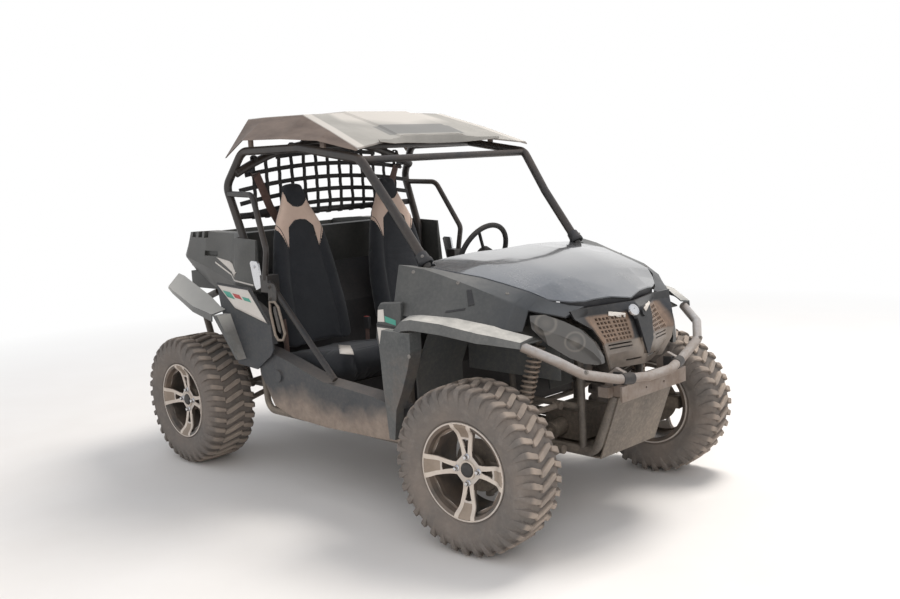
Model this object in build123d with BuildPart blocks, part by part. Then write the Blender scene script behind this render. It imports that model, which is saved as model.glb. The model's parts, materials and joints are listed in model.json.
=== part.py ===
# Two-seat off-road buggy, in millimetres: X forward, Y to the left, Z up, ground at Z = 0.

import math
import os

from build123d import *

os.makedirs("parts", exist_ok=True)

# Driving dimensions
front_axle_x = 990
rear_axle_x = -1050
tyre_radius = 335
hub_z = tyre_radius
tread_depth = 15
lug_count = 20
front_tyre_width = 236
rear_tyre_width = 275
front_wheel_y = 637
rear_wheel_y = 617
kingpin_y = 560
park_steer = 6.65
overall_half_length = 1435
barrel_radius = 178
lip_height = 16
lip_radius = barrel_radius + lip_height
bead_gap = 1
carrier_face_out = 25
ball_joint_drop = 128
stud_radius = 8
half_shaft_radius = 13
cage_radius = 20
rail_radius = 19
bumper_radius = 19
fairlead_spacing = 124
tow_hole_from_end = 65
tow_hole_radius = 9.75
steering_ratio = 9
sill_out = 652
seat_gap = 0.3


def out_plane(side, x, y_out, z, steer=0.0, reach=0.0):
    """Plane with its first direction straight out of the vehicle's side, turned by a steer angle."""
    outward = Vector(0, side, 0).rotate(Axis.Z, steer)
    forward = Vector(side, 0, 0).rotate(Axis.Z, steer)
    origin = Vector(x, side * y_out, z) + outward * reach
    return Plane(origin=origin, x_dir=outward, z_dir=forward)


def spin_axis(side, x, y_out, z, steer=0.0, reach=0.0):
    """Axle line of a wheel, pointing out of the vehicle's side."""
    plane = out_plane(side, x, y_out, z, steer, reach)
    return Axis(plane.origin, plane.x_dir)


def facing_plane(side, x, y_out, z, steer=0.0, reach=0.0):
    """Plane across the axle line, looking out of the vehicle's side."""
    plane = out_plane(side, x, y_out, z, steer, reach)
    return Plane(origin=plane.origin, x_dir=Vector(0, 0, 1), z_dir=plane.x_dir)


def outline_face(points):
    """Fill a closed line of points in the open sketch."""
    Polygon(*points, align=None)


def station_plane(x):
    """Cross-section plane at a place along the vehicle, with its first direction to the right side."""
    return Plane(origin=(x, 0, 0), x_dir=(0, -1, 0), z_dir=(-1, 0, 0))


def station_loft(stations):
    """Loft through outlines of (out, z) points given at places along the vehicle."""
    faces = []
    for x, points in stations:
        with BuildSketch(station_plane(x)) as outline:
            outline_face(points)
        faces.append(outline.sketch)
    loft(faces, ruled=True)


def level_loft(levels):
    """Loft through outlines of (x, y) points given at heights."""
    faces = []
    for z, points in levels:
        with BuildSketch(Plane.XY.offset(z)) as outline:
            outline_face(points)
        faces.append(outline.sketch)
    loft(faces, ruled=True)


def side_plate(points, inner, outer):
    """Plate with an outline in X and Z on the right side, between two distances from the middle."""
    with BuildSketch(Plane.XZ.offset(inner)) as outline:
        outline_face(points)
    extrude(outline.sketch, amount=outer - inner)


def block(x_low, x_high, y_low, y_high, z_low, z_high, mode=Mode.ADD):
    """Box between three pairs of limits."""
    middle = ((x_low + x_high) / 2, (y_low + y_high) / 2, (z_low + z_high) / 2)
    with Locations(middle):
        Box(x_high - x_low, y_high - y_low, z_high - z_low, mode=mode)


def bar(start, end, radius, mode=Mode.ADD):
    """Straight round bar between two points."""
    start = Vector(*start)
    end = Vector(*end)
    with BuildSketch(Plane(origin=start, z_dir=end - start)) as section_face:
        Circle(radius)
    extrude(section_face.sketch, amount=(end - start).length, mode=mode)


def bent_tube(points, radius, bend):
    """Round tube along straight runs joined by bends."""
    with BuildLine() as path:
        FilletPolyline(*points, radius=bend)
    with BuildSketch(Plane(origin=path.line @ 0, z_dir=path.line % 0)) as section_face:
        Circle(radius)
    sweep(section_face.sketch, path=path.line)


def save(piece, name):
    """Name a finished piece and write its file."""
    piece.part.label = name
    export_step(piece.part, "parts/" + name + ".step")


# Lugged tyre about the first axis, with the second pointing at the tread
carcass_radius = tyre_radius - tread_depth
wall_height = carcass_radius - lip_radius
bead_radius = barrel_radius + bead_gap
lug_slant = 18
lug_width = 38
centre_lug_width = 30
envelope_radius = 150


def tyre_shape(half):
    """Tyre of one width: smooth carcass, slanted shoulder lugs and staggered middle lugs."""
    lip_out = half - 22
    outer_wall = [
        (lip_out - 8, bead_radius), (lip_out - 7, lip_radius + 6), (half - 6, lip_radius + 0.45 * wall_height),
        (half - 8, lip_radius + 0.7 * wall_height), (half - 28, carcass_radius - 8),
    ]
    inner_wall = [
        (half - 42, carcass_radius - 20), (half - 22, lip_radius + 0.55 * wall_height),
        (lip_out - 22, lip_radius + 6), (lip_out - 22, bead_radius),
    ]
    shoulder_lug = [
        (half - 58, carcass_radius - 6), (half - 54, tyre_radius + 6), (half - 18, tyre_radius - 4),
        (half + 6, tyre_radius - 46), (half + 3, tyre_radius - 68), (half - 10, tyre_radius - 86),
        (half - 18, tyre_radius - 64), (half - 34, tyre_radius - 36),
    ]
    centre_lug = [
        (6, carcass_radius - 5), (8, tyre_radius + 5), (half - 66, tyre_radius + 5), (half - 64, carcass_radius - 5),
    ]
    envelope = [
        (-half, envelope_radius), (-half, tyre_radius - 50), (20 - half, tyre_radius - 8), (50 - half, tyre_radius),
        (half - 50, tyre_radius), (half - 20, tyre_radius - 8), (half, tyre_radius - 50), (half, envelope_radius),
    ]
    pitch = 360 / lug_count
    with BuildPart() as shape:
        with BuildSketch():
            outline_face(
                outer_wall
                + [(half - 50, carcass_radius), (50 - half, carcass_radius)]
                + [(-a, r) for a, r in reversed(outer_wall)]
                + [(-a, r) for a, r in reversed(inner_wall)]
                + inner_wall
            )
        revolve(axis=Axis.X)
        for outline, width in ((shoulder_lug, lug_width), (centre_lug, centre_lug_width)):
            for step in range(lug_count):
                for flip in (0, 180):
                    around = (step + flip / 360) * pitch
                    with BuildSketch(Plane.XY.rotated((around, 0, 0)).rotated((0, flip + lug_slant, 0))):
                        outline_face(outline)
            extrude(amount=width / 2, both=True)
        with BuildSketch() as limit:
            outline_face(envelope)
        revolve(limit.sketch, axis=Axis.X, mode=Mode.INTERSECT)
    return shape.part.solids().sort_by(SortBy.VOLUME)[-1]


tyre_shapes = {width: tyre_shape(width / 2) for width in (front_tyre_width, rear_tyre_width)}

# Wheels: one row per wheel
wheel_table = [
    # name, side, axle x, pivot y, reach beyond the pivot, parked steer, tyre width, face inset
    ("front_right", -1, front_axle_x, kingpin_y, front_wheel_y - kingpin_y, park_steer, front_tyre_width, 56),
    ("front_left", 1, front_axle_x, kingpin_y, front_wheel_y - kingpin_y, park_steer, front_tyre_width, 56),
    ("rear_right", -1, rear_axle_x, rear_wheel_y, 0, 0, rear_tyre_width, 76),
    ("rear_left", 1, rear_axle_x, rear_wheel_y, 0, 0, rear_tyre_width, 76),
]

spoke_pairs = 4
nut_circle = 52
half_pair = 180 / spoke_pairs
pair_edge = [
    # along the pair, across it
    (54, 25), (88, 26), (128, 33), (158, 42),
]
spread = math.radians(half_pair)
window_edge = [
    (a * math.cos(spread) + b * math.sin(spread), b * math.cos(spread) - a * math.sin(spread)) for a, b in pair_edge
]
for name, side, axle_x, pivot_y, reach, steer, tyre_width, face_out in wheel_table:
    half = tyre_width / 2
    lip_out = half - 22
    section = out_plane(side, axle_x, pivot_y, hub_z, steer, reach)
    axle = spin_axis(side, axle_x, pivot_y, hub_z, steer, reach)
    with BuildPart() as tyre:
        with Locations(section):
            add(tyre_shapes[tyre_width])
    save(tyre, "tyre_" + name)

    seat_radius = barrel_radius - 8
    barrel = [
        (-lip_out, lip_radius), (-lip_out, lip_radius - 6), (6 - lip_out, seat_radius), (lip_out - 24, seat_radius),
        (lip_out - 6, seat_radius + 6), (lip_out, lip_radius - 6), (lip_out, lip_radius), (lip_out - 6, lip_radius),
        (lip_out - 7.5, barrel_radius), (7.5 - lip_out, barrel_radius), (6 - lip_out, lip_radius),
    ]
    disc_edge = seat_radius + 1
    disc = [
        (face_out - 16, 32), (face_out, 32), (face_out + 2, 72), (face_out + 14, disc_edge),
        (face_out - 6, disc_edge), (face_out - 16, 72),
    ]
    facing = facing_plane(side, axle_x, pivot_y, hub_z, steer, reach)
    with BuildPart() as rim:
        with BuildSketch(section):
            outline_face(barrel)
        revolve(axis=axle)
        with BuildSketch(section):
            outline_face(disc)
        revolve(axis=axle)
        with BuildSketch(facing.offset(face_out - 40)) as windows:
            with PolarLocations(0, spoke_pairs):
                outline_face([(66, -3), (92, -9), (118, -20), (123, 0), (118, 20), (92, 9), (66, 3)])
            with PolarLocations(0, spoke_pairs, start_angle=half_pair):
                outline_face(
                    [(a, -b) for a, b in reversed(window_edge)] + window_edge[:1] + window_edge[1:] + [(seat_radius - 5, 0)]
                )
            with PolarLocations(nut_circle, spoke_pairs):
                Circle(6)
        extrude(amount=90, mode=Mode.SUBTRACT)
        with BuildSketch(facing.offset(face_out + 3)) as pockets:
            with PolarLocations(0, spoke_pairs):
                outline_face([(130, -19), (163, -26), (166, 0), (163, 26), (130, 19)])
        extrude(amount=40, mode=Mode.SUBTRACT)
    save(rim, "rim_" + name)

    hub_profile = [
        (-45, 0), (face_out + 3, 0), (face_out + 3, 31), (face_out - 16, 31), (face_out - 16, 62),
        (face_out - 28, 62), (face_out - 32, 34), (-11, 34), (-11, 105), (-16, 105), (-16, 34), (-22, 34),
        (-22, 20), (-45, 20),
    ]
    with BuildPart() as hub:
        with BuildSketch(section):
            outline_face(hub_profile)
        revolve(axis=axle)
    save(hub, "hub_" + name)

# Front uprights, turned with the wheels
for name, side in (("right", -1), ("left", 1)):
    section = out_plane(side, front_axle_x, kingpin_y, hub_z, park_steer, 0)
    axle = spin_axis(side, front_axle_x, kingpin_y, hub_z, park_steer, 0)
    web_out = front_wheel_y - kingpin_y - carrier_face_out
    housing = [
        (-34, 46), (web_out - 15, 46), (web_out - 15, 20.05), (web_out, 20.05), (web_out, 58), (-34, 58),
    ]
    forward = Vector(1, 0, 0).rotate(Axis.Z, park_steer)
    outward = section.x_dir
    pin = Vector(front_axle_x, side * kingpin_y, hub_z)
    arm_root = pin - forward * 47 + Vector(0, 0, 20)
    disc_out = front_wheel_y - kingpin_y - 13.5
    with BuildPart() as knuckle:
        with BuildSketch(section):
            outline_face(housing)
        revolve(axis=axle)
        for up in (-1, 1):
            with BuildSketch(Plane(origin=pin + Vector(0, 0, up * 52), x_dir=forward, z_dir=(0, 0, up))):
                Rectangle(44, 30)
            extrude(amount=44)
            with BuildSketch(Plane(origin=pin + Vector(0, 0, up * 96), x_dir=forward, z_dir=(0, 0, up))):
                Circle(18)
            extrude(amount=8)
            with BuildSketch(Plane(origin=pin + Vector(0, 0, up * 104), x_dir=forward, z_dir=(0, 0, -up))):
                Circle(stud_radius + 0.05)
            extrude(amount=22, mode=Mode.SUBTRACT)
        with BuildSketch(Plane(origin=arm_root, x_dir=outward, z_dir=-1 * forward)):
            Rectangle(26, 16)
        extrude(amount=75)
        with BuildSketch(Plane(origin=pin + forward * 47 + outward * 40, x_dir=outward, z_dir=forward)):
            Rectangle(14, 50)
        extrude(amount=80)
        with BuildSketch(Plane(origin=pin + forward * 72 + outward * disc_out, x_dir=outward, z_dir=forward)):
            Rectangle(46, 60)
        extrude(amount=56)
        with BuildSketch(Plane(origin=pin + forward * 60 + outward * disc_out, x_dir=outward, z_dir=forward)):
            Rectangle(16, 100)
        extrude(amount=50, mode=Mode.SUBTRACT)
    save(knuckle, "front_knuckle_" + name)

# Steering rack with its tie rods
rack_x = 880
rack_z = 365
rod_end_z = 333
with BuildPart() as rack:
    bar((rack_x, -200, rack_z), (rack_x, 200, rack_z), 11)
    for side in (-1, 1):
        tip = Vector(front_axle_x, side * kingpin_y, 0)
        tip = tip - Vector(1, 0, 0).rotate(Axis.Z, park_steer) * 110
        tip = tip - Vector(0, side, 0).rotate(Axis.Z, park_steer) * 8
        bar((rack_x, side * 195, rack_z), (tip.X, tip.Y, rod_end_z), 8)
        with Locations((tip.X, tip.Y, rod_end_z)):
            Cylinder(12, 22)
save(rack, "steering_rack")

# Steering wheel
wheel_centre = Vector(190, 310, 1035)
column_tilt = 24
column_dir = Vector(math.cos(math.radians(column_tilt)), 0, -math.sin(math.radians(column_tilt)))
with BuildPart() as steering_wheel:
    wheel_plane = Plane(origin=wheel_centre, x_dir=(0, 1, 0), z_dir=column_dir)
    with BuildSketch(Plane(origin=wheel_centre, x_dir=(0, 1, 0), z_dir=-1 * wheel_plane.y_dir)) as rim_section:
        with Locations((160, 0)):
            Circle(13)
    revolve(axis=Axis(wheel_centre, column_dir))
    with BuildSketch(wheel_plane.offset(-2)):
        Circle(46)
    extrude(amount=32)
    turned = math.radians(park_steer * steering_ratio)
    for spoke_angle in (0, 180, 270):
        angle = math.radians(spoke_angle) + turned
        ray = wheel_plane.x_dir * -math.cos(angle) + wheel_plane.y_dir * math.sin(angle)
        bar(wheel_centre + ray * 30 + column_dir * 14, wheel_centre + ray * 156, 8)
save(steering_wheel, "steering_wheel")

# Lower frame in three welded parts that meet at cut faces in their tubes
brace_radius = 16
strut_radius = 13
front_cut_x = 620
rear_cut_x = -520
rail_y = 200
rail_z = 320
brace_cut = (616, -343, 742)
rear_bar_x = -1160
shock_cap_z = 854.5
with BuildPart() as front_frame:
    bent_tube([(1330, -180, 560), (1240, -rail_y, rail_z), (front_cut_x, -rail_y, rail_z)], rail_radius, 60)
    bent_tube([(1180, -rail_y, rail_z), (1180, -205, 720), (640, -250, 760), brace_cut], brace_radius, 20)
    bar((1178, -202, 500), (824, -202, 500), strut_radius)
    bar((830, -rail_y, rail_z), (830, -234, 746), strut_radius)
    mirror(about=Plane.XZ)
    for x, z, half_y in ((1230, 322, rail_y), (860, rail_z, rail_y), (1175, 700, 205)):
        bar((x, -half_y, z), (x, half_y, z), strut_radius)
    bar((rack_x, -130, rack_z), (rack_x, 130, rack_z), 24)
    for y in (-90, 90):
        block(850, 876, y - 10, y + 10, rail_z, rack_z)
    with BuildSketch(Plane(origin=(rack_x, 150, rack_z), x_dir=(1, 0, 0), z_dir=(0, -1, 0))):
        Circle(11.05)
    extrude(amount=300, mode=Mode.SUBTRACT)
save(front_frame, "front_frame")

with BuildPart() as cabin_frame:
    bar((front_cut_x, -rail_y, rail_z), (rear_cut_x, -rail_y, rail_z), rail_radius)
    bent_tube(
        [brace_cut, (560, -560, 700), (560, -560, 330), (-500, -560, 330), (-560, -575, 1000)], brace_radius, 60
    )
    mirror(about=Plane.XZ)
    for x, z, half_y in ((545, 330, 560), (0, 332.7, 560), (-485, 330, 560), (-557, 800, 568)):
        bar((x, -half_y, z), (x, half_y, z), strut_radius)
save(cabin_frame, "cabin_frame")

with BuildPart() as rear_frame:
    bent_tube([(rear_cut_x, -rail_y, rail_z), (-1230, -rail_y, rail_z), (-1330, -220, 560)], rail_radius, 60)
    bent_tube([(-600, -rail_y, rail_z), (-600, -330, 860), (-1240, -330, 860), (-1315, -215, 520)], brace_radius, 60)
    bar((-900, -rail_y, rail_z), (-900, -330, 860), strut_radius)
    bar((-1200, -rail_y, rail_z), (-1200, -330, 860), strut_radius)
    bar((-890, -240, 500), (-1210, -240, 500), strut_radius)
    bar((-598, -325, 800), (-574, -325, 800), strut_radius)
    block(-945, -915, -382, -330, shock_cap_z, shock_cap_z + 9)
    mirror(about=Plane.XZ)
    for x, z, half_y in ((-930, 322, rail_y), (rear_bar_x, 322, rail_y), (-1220, 860, 330)):
        bar((x, -half_y, z), (x, half_y, z), strut_radius)
save(rear_frame, "rear_frame")

# Cabin floor and firewall
with BuildPart() as floor_tub:
    with BuildSketch(Plane.XZ.offset(-530)):
        outline_face(
            [
                (-640, 1010), (-534, 800), (-470, 352), (540, 352), (590, 640), (596, 640),
                (546, 346), (-476, 346), (-540, 798), (-646, 1010),
            ]
        )
    extrude(amount=1060)
    block(-470, 545, -80, 80, 352, 470)
    for low_y in (-536, 86):
        with BuildSketch(Plane.XZ.offset(-450 - low_y)):
            outline_face([(-440, 495), (5, 495), (15, 350), (21, 350), (11, 500), (-440, 500)])
        extrude(amount=450)
save(floor_tub, "floor_tub")

# Door sills and the panels behind the doors
sill_in = 560 + brace_radius + seat_gap
with BuildPart() as lower_side_panels:
    station_loft(
        [
            (592, [(sill_in, 345), (640, 357), (sill_out, 432), (640, 498), (sill_in, 512)]),
            (400, [(sill_in, 335), (640, 350), (sill_out, 440), (640, 530), (sill_in, 545)]),
            (60, [(sill_in, 325), (640, 342), (sill_out, 440), (640, 552), (sill_in, 566)]),
            (-190, [(sill_in, 330), (640, 352), (sill_out, 545), (640, 618), (sill_in, 630)]),
            (-330, [(sill_in, 380), (640, 390), (sill_out, 560), (640, 650), (sill_in, 660)]),
            (-420, [(sill_in, 520), (640, 520), (sill_out, 590), (640, 664), (sill_in, 672)]),
        ]
    )
    bar((-262, -640, 545), (-262, -662, 545), 29)
    quarter_in = sill_out + seat_gap
    side_plate(
        [
            (-728, 968), (-436, 955), (-284, 786), (-278, 668), (-300, 640), (-424, 560), (-588, 570), (-612, 700),
            (-700, 826),
        ],
        quarter_in, quarter_in + 9,
    )
    side_plate([(-716, 962), (-442, 950), (-294, 790), (-566, 850)], quarter_in + 9, quarter_in + 15)
    side_plate([(-424, 888), (-340, 846), (-300, 690), (-380, 720), (-440, 876)], quarter_in - 36, quarter_in)
    mirror(about=Plane.XZ)
save(lower_side_panels, "lower_side_panels")

# Cage
hoop_x = -600
cage_corner = (640, -500, 1088)
hoop_foot = (578, 1499)
hoop_top_z = 1640
cage_side = [(296, -535, 1535), (-100, -552, 1600), (-560, -560, 1605)]
with BuildPart() as roll_cage:
    bent_tube(
        [
            (580, -553, 722), cage_corner, (443, -510, 1336), *cage_side,
            (-668, -594, 1440), (-560, -580, 1150), (-560, -575, 1000),
        ],
        cage_radius, 70,
    )
    mirror(about=Plane.XZ)
    with BuildLine() as hoop_line:
        ThreePointArc(
            (hoop_x, -hoop_foot[0], hoop_foot[1]), (hoop_x, 0, hoop_top_z), (hoop_x, hoop_foot[0], hoop_foot[1])
        )
    with BuildSketch(Plane(origin=hoop_line.line @ 0, z_dir=hoop_line.line % 0)) as hoop_section:
        Circle(cage_radius)
    sweep(hoop_section.sketch, path=hoop_line.line)
    bar((-636, -580, 1290), (-636, 580, 1290), 16)
    bar((290, -530, 1530), (290, 530, 1530), 16)
    bar((-100, -552, 1600), (-100, 552, 1600), 16)
save(roll_cage, "roll_cage")

# Roof panel
roof_gauge = 7
rib_out = 200
roof_pads = [
    # x, distance out, the tube's z, top z, of the pads that sit on the cage
    (60, 545, 1574, 1642), (-480, 559, 1604, 1677),
]


def roof_section(centre_z, crease_out, crease_z, flap_out, flap_z, rise):
    """Outline of the roof panel at one place along it."""
    fall = (centre_z - crease_z) / crease_out
    rib_z = centre_z - fall * rib_out
    upper = [
        (flap_out, flap_z), (crease_out, crease_z), (rib_out + 14, rib_z), (rib_out, rib_z + rise),
        (-rib_out, rib_z + rise), (-rib_out - 14, rib_z), (-crease_out, crease_z), (-flap_out, flap_z),
    ]
    lower = [
        (roof_gauge - flap_out, flap_z), (2 - crease_out, crease_z - roof_gauge),
        (-rib_out, rib_z - roof_gauge), (rib_out, rib_z - roof_gauge),
        (crease_out - 2, crease_z - roof_gauge), (flap_out - roof_gauge, flap_z),
    ]
    return upper + lower


with BuildPart() as roof_panel:
    station_loft(
        [
            (-648, roof_section(1772, 450, 1765, 602, 1578, 4)),
            (-500, roof_section(1772, 452, 1764, 596, 1655, 4)),
            (-196, roof_section(1766, 450, 1756, 588, 1645, 8)),
            (60, roof_section(1686, 505, 1672, 580, 1625, 8)),
            (300, roof_section(1590, 546, 1583, 558, 1570, 3)),
        ]
    )
    with BuildSketch(Plane.XY.offset(1500)):
        outline_face(
            [(187, -170), (187, 170), (214, 261), (302, 545), (340, 545), (340, -545), (302, -545), (214, -261)]
        )
    extrude(amount=300, mode=Mode.SUBTRACT)
    for side in (-1, 1):
        for x, out, tube_z, top_z in roof_pads:
            block(x - 14, x + 14, side * out - 6, side * out + 6, tube_z, top_z)
        for (start_x, start_y, start_z), (end_x, end_y, end_z) in zip(cage_side, cage_side[1:]):
            bar(
                (start_x, -side * start_y, start_z), (end_x, -side * end_y, end_z), cage_radius + seat_gap,
                mode=Mode.SUBTRACT,
            )
save(roof_panel, "roof_panel")

# Net behind the seats, its rows sagging like the hoop
net_x = -616
net_gauge = 4
strap_half = 11
net_sag = 0.00015
hoop_sag = (hoop_top_z - hoop_foot[1]) / hoop_foot[0] ** 2
net_half = 535
net_columns = 13
column_pitch = 78
row_table = [
    # height in the middle, half length
    (1334, 535), (1397, 535), (1462, 530), (1530, 500), (1590, 290),
]
with BuildPart() as rear_net:
    for middle_z, half_y in row_table:
        places = [half_y * (step / 6 - 1) for step in range(13)]
        upper = [(y, middle_z + strap_half - net_sag * y * y) for y in places]
        lower = [(y, middle_z - strap_half - net_sag * y * y) for y in reversed(places)]
        with BuildSketch(Plane(origin=(net_x, 0, 0), x_dir=(0, 1, 0), z_dir=(1, 0, 0))) as row_face:
            outline_face(upper + lower)
        extrude(row_face.sketch, amount=net_gauge)
    for step in range(net_columns):
        y = (step - (net_columns - 1) / 2) * column_pitch
        top = hoop_top_z - hoop_sag * y * y - cage_radius - 2
        block(net_x, net_x + net_gauge, y - strap_half, y + strap_half, 1309, top)
save(rear_net, "rear_net")

# Fixed side bars
with BuildPart() as side_bars:
    bent_tube([(-640, -600, 1404), (-430, -608, 1396), (-290, -648, 1140), (-320, -648, 1000)], 14, 55)
    bar((-320, -640, 1010), (134, -626, 568), 14)
    block(-350, -290, -655, -590, 940, 1020)
    mirror(about=Plane.XZ)
save(side_bars, "side_bars")

# Seats
seat_y = 311
seat_table = [
    # height, x of the front face, half width, depth
    (630, -330, 215, 110),
    (800, -368, 222, 118),
    (960, -405, 208, 112),
    (1110, -437, 180, 100),
    (1230, -462, 150, 92),
    (1300, -477, 105, 86),
    (1350, -487, 74, 80),
    (1442, -500, 52, 62),
]
with BuildPart() as seat_backs:
    level_loft(
        [
            (
                z,
                [
                    (x, -seat_y - half_width), (x, -seat_y + half_width),
                    (x - depth, -seat_y + half_width), (x - depth, -seat_y - half_width),
                ],
            )
            for z, x, half_width, depth in seat_table
        ]
    )
    mirror(about=Plane.XZ)
save(seat_backs, "seat_backs")

with BuildPart() as seat_cushions:
    side_plate(
        [(-440, 500), (20, 500), (70, 560), (70, 650), (40, 690), (-330, 630), (-440, 630)],
        seat_y - 225, seat_y + 225,
    )
    mirror(about=Plane.XZ)
save(seat_cushions, "seat_cushions")

# Dashboard and column
dash_half = 478
with BuildPart() as dashboard:
    with BuildSketch(Plane.XZ.offset(-dash_half)):
        outline_face(
            [
                (640, 1078), (520, 1062), (470, 1010), (480, 840), (586, 640.3), (594, 640.3), (486, 842),
                (476, 1008), (524, 1056), (640, 1072),
            ]
        )
    extrude(amount=2 * dash_half)
    bar(wheel_centre + column_dir * 30.5, wheel_centre + column_dir * 340, 22)
save(dashboard, "dashboard")

# Hood
hood_gauge = 6
cage_hole_radius = cage_radius + 13
outer_crease = 0.64
inner_crease = 0.34
hood_table = [
    # x, half width at the groove, height there, height at the middle
    (606, 522.85, 1089, 1108),
    (800, 496, 1064, 1094),
    (900, 455, 1045, 1078),
    (1000, 429, 1020, 1052),
    (1100, 402, 992, 1020),
    (1160, 356, 956, 990),
    (1236, 300, 928, 952),
    (1300, 240, 914, 926),
]


def hood_section(half_width, edge_z, middle_z):
    """Outline of the hood at one place along it, with two creases on each side."""
    rise = middle_z - edge_z
    half_line = [
        (half_width, edge_z), (half_width * outer_crease, edge_z + 0.72 * rise),
        (half_width * inner_crease, middle_z), (0, middle_z - 3),
    ]
    line = half_line + [(-out, z) for out, z in reversed(half_line[:3])]
    return line + [(out, z - hood_gauge) for out, z in reversed(line)]


nose_cut = [
    # x and y of the hood's front edge on one side, from the middle outwards
    (1292, 0), (1262, 100), (1236, 232), (1210, 290), (1160, 354),
]
with BuildPart() as hood_panel:
    station_loft([(x, hood_section(*row)) for x, *row in hood_table])
    with BuildSketch(Plane.XY.offset(800)):
        outline_face(
            nose_cut + [(1160, 700), (1500, 700), (1500, -700), (1160, -700)]
            + [(x, -y) for x, y in reversed(nose_cut[1:])]
        )
    extrude(amount=300, mode=Mode.SUBTRACT)
    for side in (-1, 1):
        with Locations((cage_corner[0], side * -cage_corner[1], 1080)):
            Cylinder(cage_hole_radius, 120, mode=Mode.SUBTRACT)
save(hood_panel, "hood_panel")

# Side panels beside the hood, ending in a strip that runs to the nose
panel_gauge = 7
side_table = [
    # x, groove out, groove z, ridge out, ridge z, foot out, foot z
    (582, 526, 1086, 606, 1098, 655, 900),
    (700, 512, 1076, 572, 1080, 645, 895),
    (800, 499, 1061, 552, 1052, 630, 892),
    (900, 458, 1042, 538, 1024, 610, 888),
    (1000, 432, 1017, 526, 994, 590, 872),
    (1100, 405, 989, 490, 952, 560, 858),
    (1138, 385, 971, 459, 928, 500, 850),
]
strip_table = [
    # x, groove out, groove z, ridge out, ridge z
    (1138, 385, 971, 459, 928),
    (1160, 357, 952, 438, 920),
    (1210, 293, 929, 392, 905),
    (1237.7, 240, 919, 360, 894),
]
with BuildPart() as front_side_panels:
    station_loft(
        [
            (
                x,
                [
                    (groove, groove_z), (ridge, ridge_z), (foot, foot_z), (foot - 6, foot_z - 2),
                    (ridge - 6, ridge_z - panel_gauge), (groove, groove_z - panel_gauge),
                ],
            )
            for x, groove, groove_z, ridge, ridge_z, foot, foot_z in side_table
        ]
    )
    station_loft(
        [
            (
                x,
                [
                    (groove, groove_z), (ridge, ridge_z), (ridge - 6, ridge_z - panel_gauge),
                    (groove, groove_z - panel_gauge),
                ],
            )
            for x, groove, groove_z, ridge, ridge_z in strip_table
        ]
    )
    with Locations((cage_corner[0], cage_corner[1], 1080)):
        Cylinder(cage_hole_radius, 120, mode=Mode.SUBTRACT)
    mirror(about=Plane.XZ)
save(front_side_panels, "front_side_panels")

# Fender flares, the front ones with a rear leg and the rear ones with a front leg
front_flare_table = [
    # x, inner out, inner z, outer out, outer z, drop of the lip
    (560, 600, 820, 680, 800, 30),
    (680, 650, 902, 700, 886, 40),
    (740, 642, 908, 705, 897, 42),
    (904, 611, 902, 705, 893, 42),
    (1065, 573, 878, 668, 864, 38),
    (1104, 567, 868, 641, 854, 34),
    (1200, 508, 838, 580, 827, 24),
]
rear_flare_table = [
    # x, inner out, inner z, outer out, outer z, drop of the lip
    (-1225, 585, 986, 652, 925, 12),
    (-1141, 600, 978, 676, 908, 16),
    (-1000, 615, 936, 705, 882, 22),
    (-838, 632, 888, 740, 852, 28),
    (-706, 661.6, 849, 741, 831, 35),
    (-664, 661.6, 838, 742, 823, 36),
]
leg_table = [
    # height, back x, front x, inner out, outer out, of the front flare's rear leg
    (382, 556, 590, sill_out + seat_gap, 690),
    (514, 552, 616, sill_out + seat_gap, 696),
    (600, 548, 664, 640, 700),
    (700, 545, 708, 640, 702),
    (765, 540, 728, 640, 702),
    (840, 560, 728, 640, 702),
]
rear_leg_table = [
    # height, back x, front x, inner out, outer out, of the rear flare's front leg
    (604, -536, -512, 661.6, 706),
    (700, -590, -562, 661.6, 722),
    (818, -664, -622, 661.6, 738),
]


def flare_section(inner, inner_z, outer, outer_z, drop):
    """Outline of a fender flare at one place along it."""
    return [
        (inner, inner_z), (outer, outer_z), (outer + 4, outer_z - drop), (outer - 2, outer_z - drop),
        (outer - 5, outer_z - 6), (inner, inner_z - 6),
    ]


with BuildPart() as fender_flares:
    for flare_rows, leg_rows in ((front_flare_table, leg_table), (rear_flare_table, rear_leg_table)):
        station_loft([(x, flare_section(*row)) for x, *row in flare_rows])
        level_loft(
            [
                (z, [(back_x, -inner), (front_x, -inner), (front_x, -outer), (back_x, -outer)])
                for z, back_x, front_x, inner, outer in leg_rows
            ]
        )
    mirror(about=Plane.XZ)
save(fender_flares, "fender_flares")

# Wheel-well liners
with BuildPart() as front_inner_fenders:
    side_plate(
        [
            (600, 400), (596.3, 640), (690, 832), (800, 852), (1050, 846), (1150, 806), (1150, 800), (1049, 840),
            (802, 846), (694, 828), (606, 639), (606, 400),
        ],
        292, 560,
    )
    side_plate([(648, 620), (648, 742), (700, 836), (1050, 843), (1150, 803), (1150, 620)], 288, 292)
    mirror(about=Plane.XZ)
save(front_inner_fenders, "front_inner_fenders")

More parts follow.
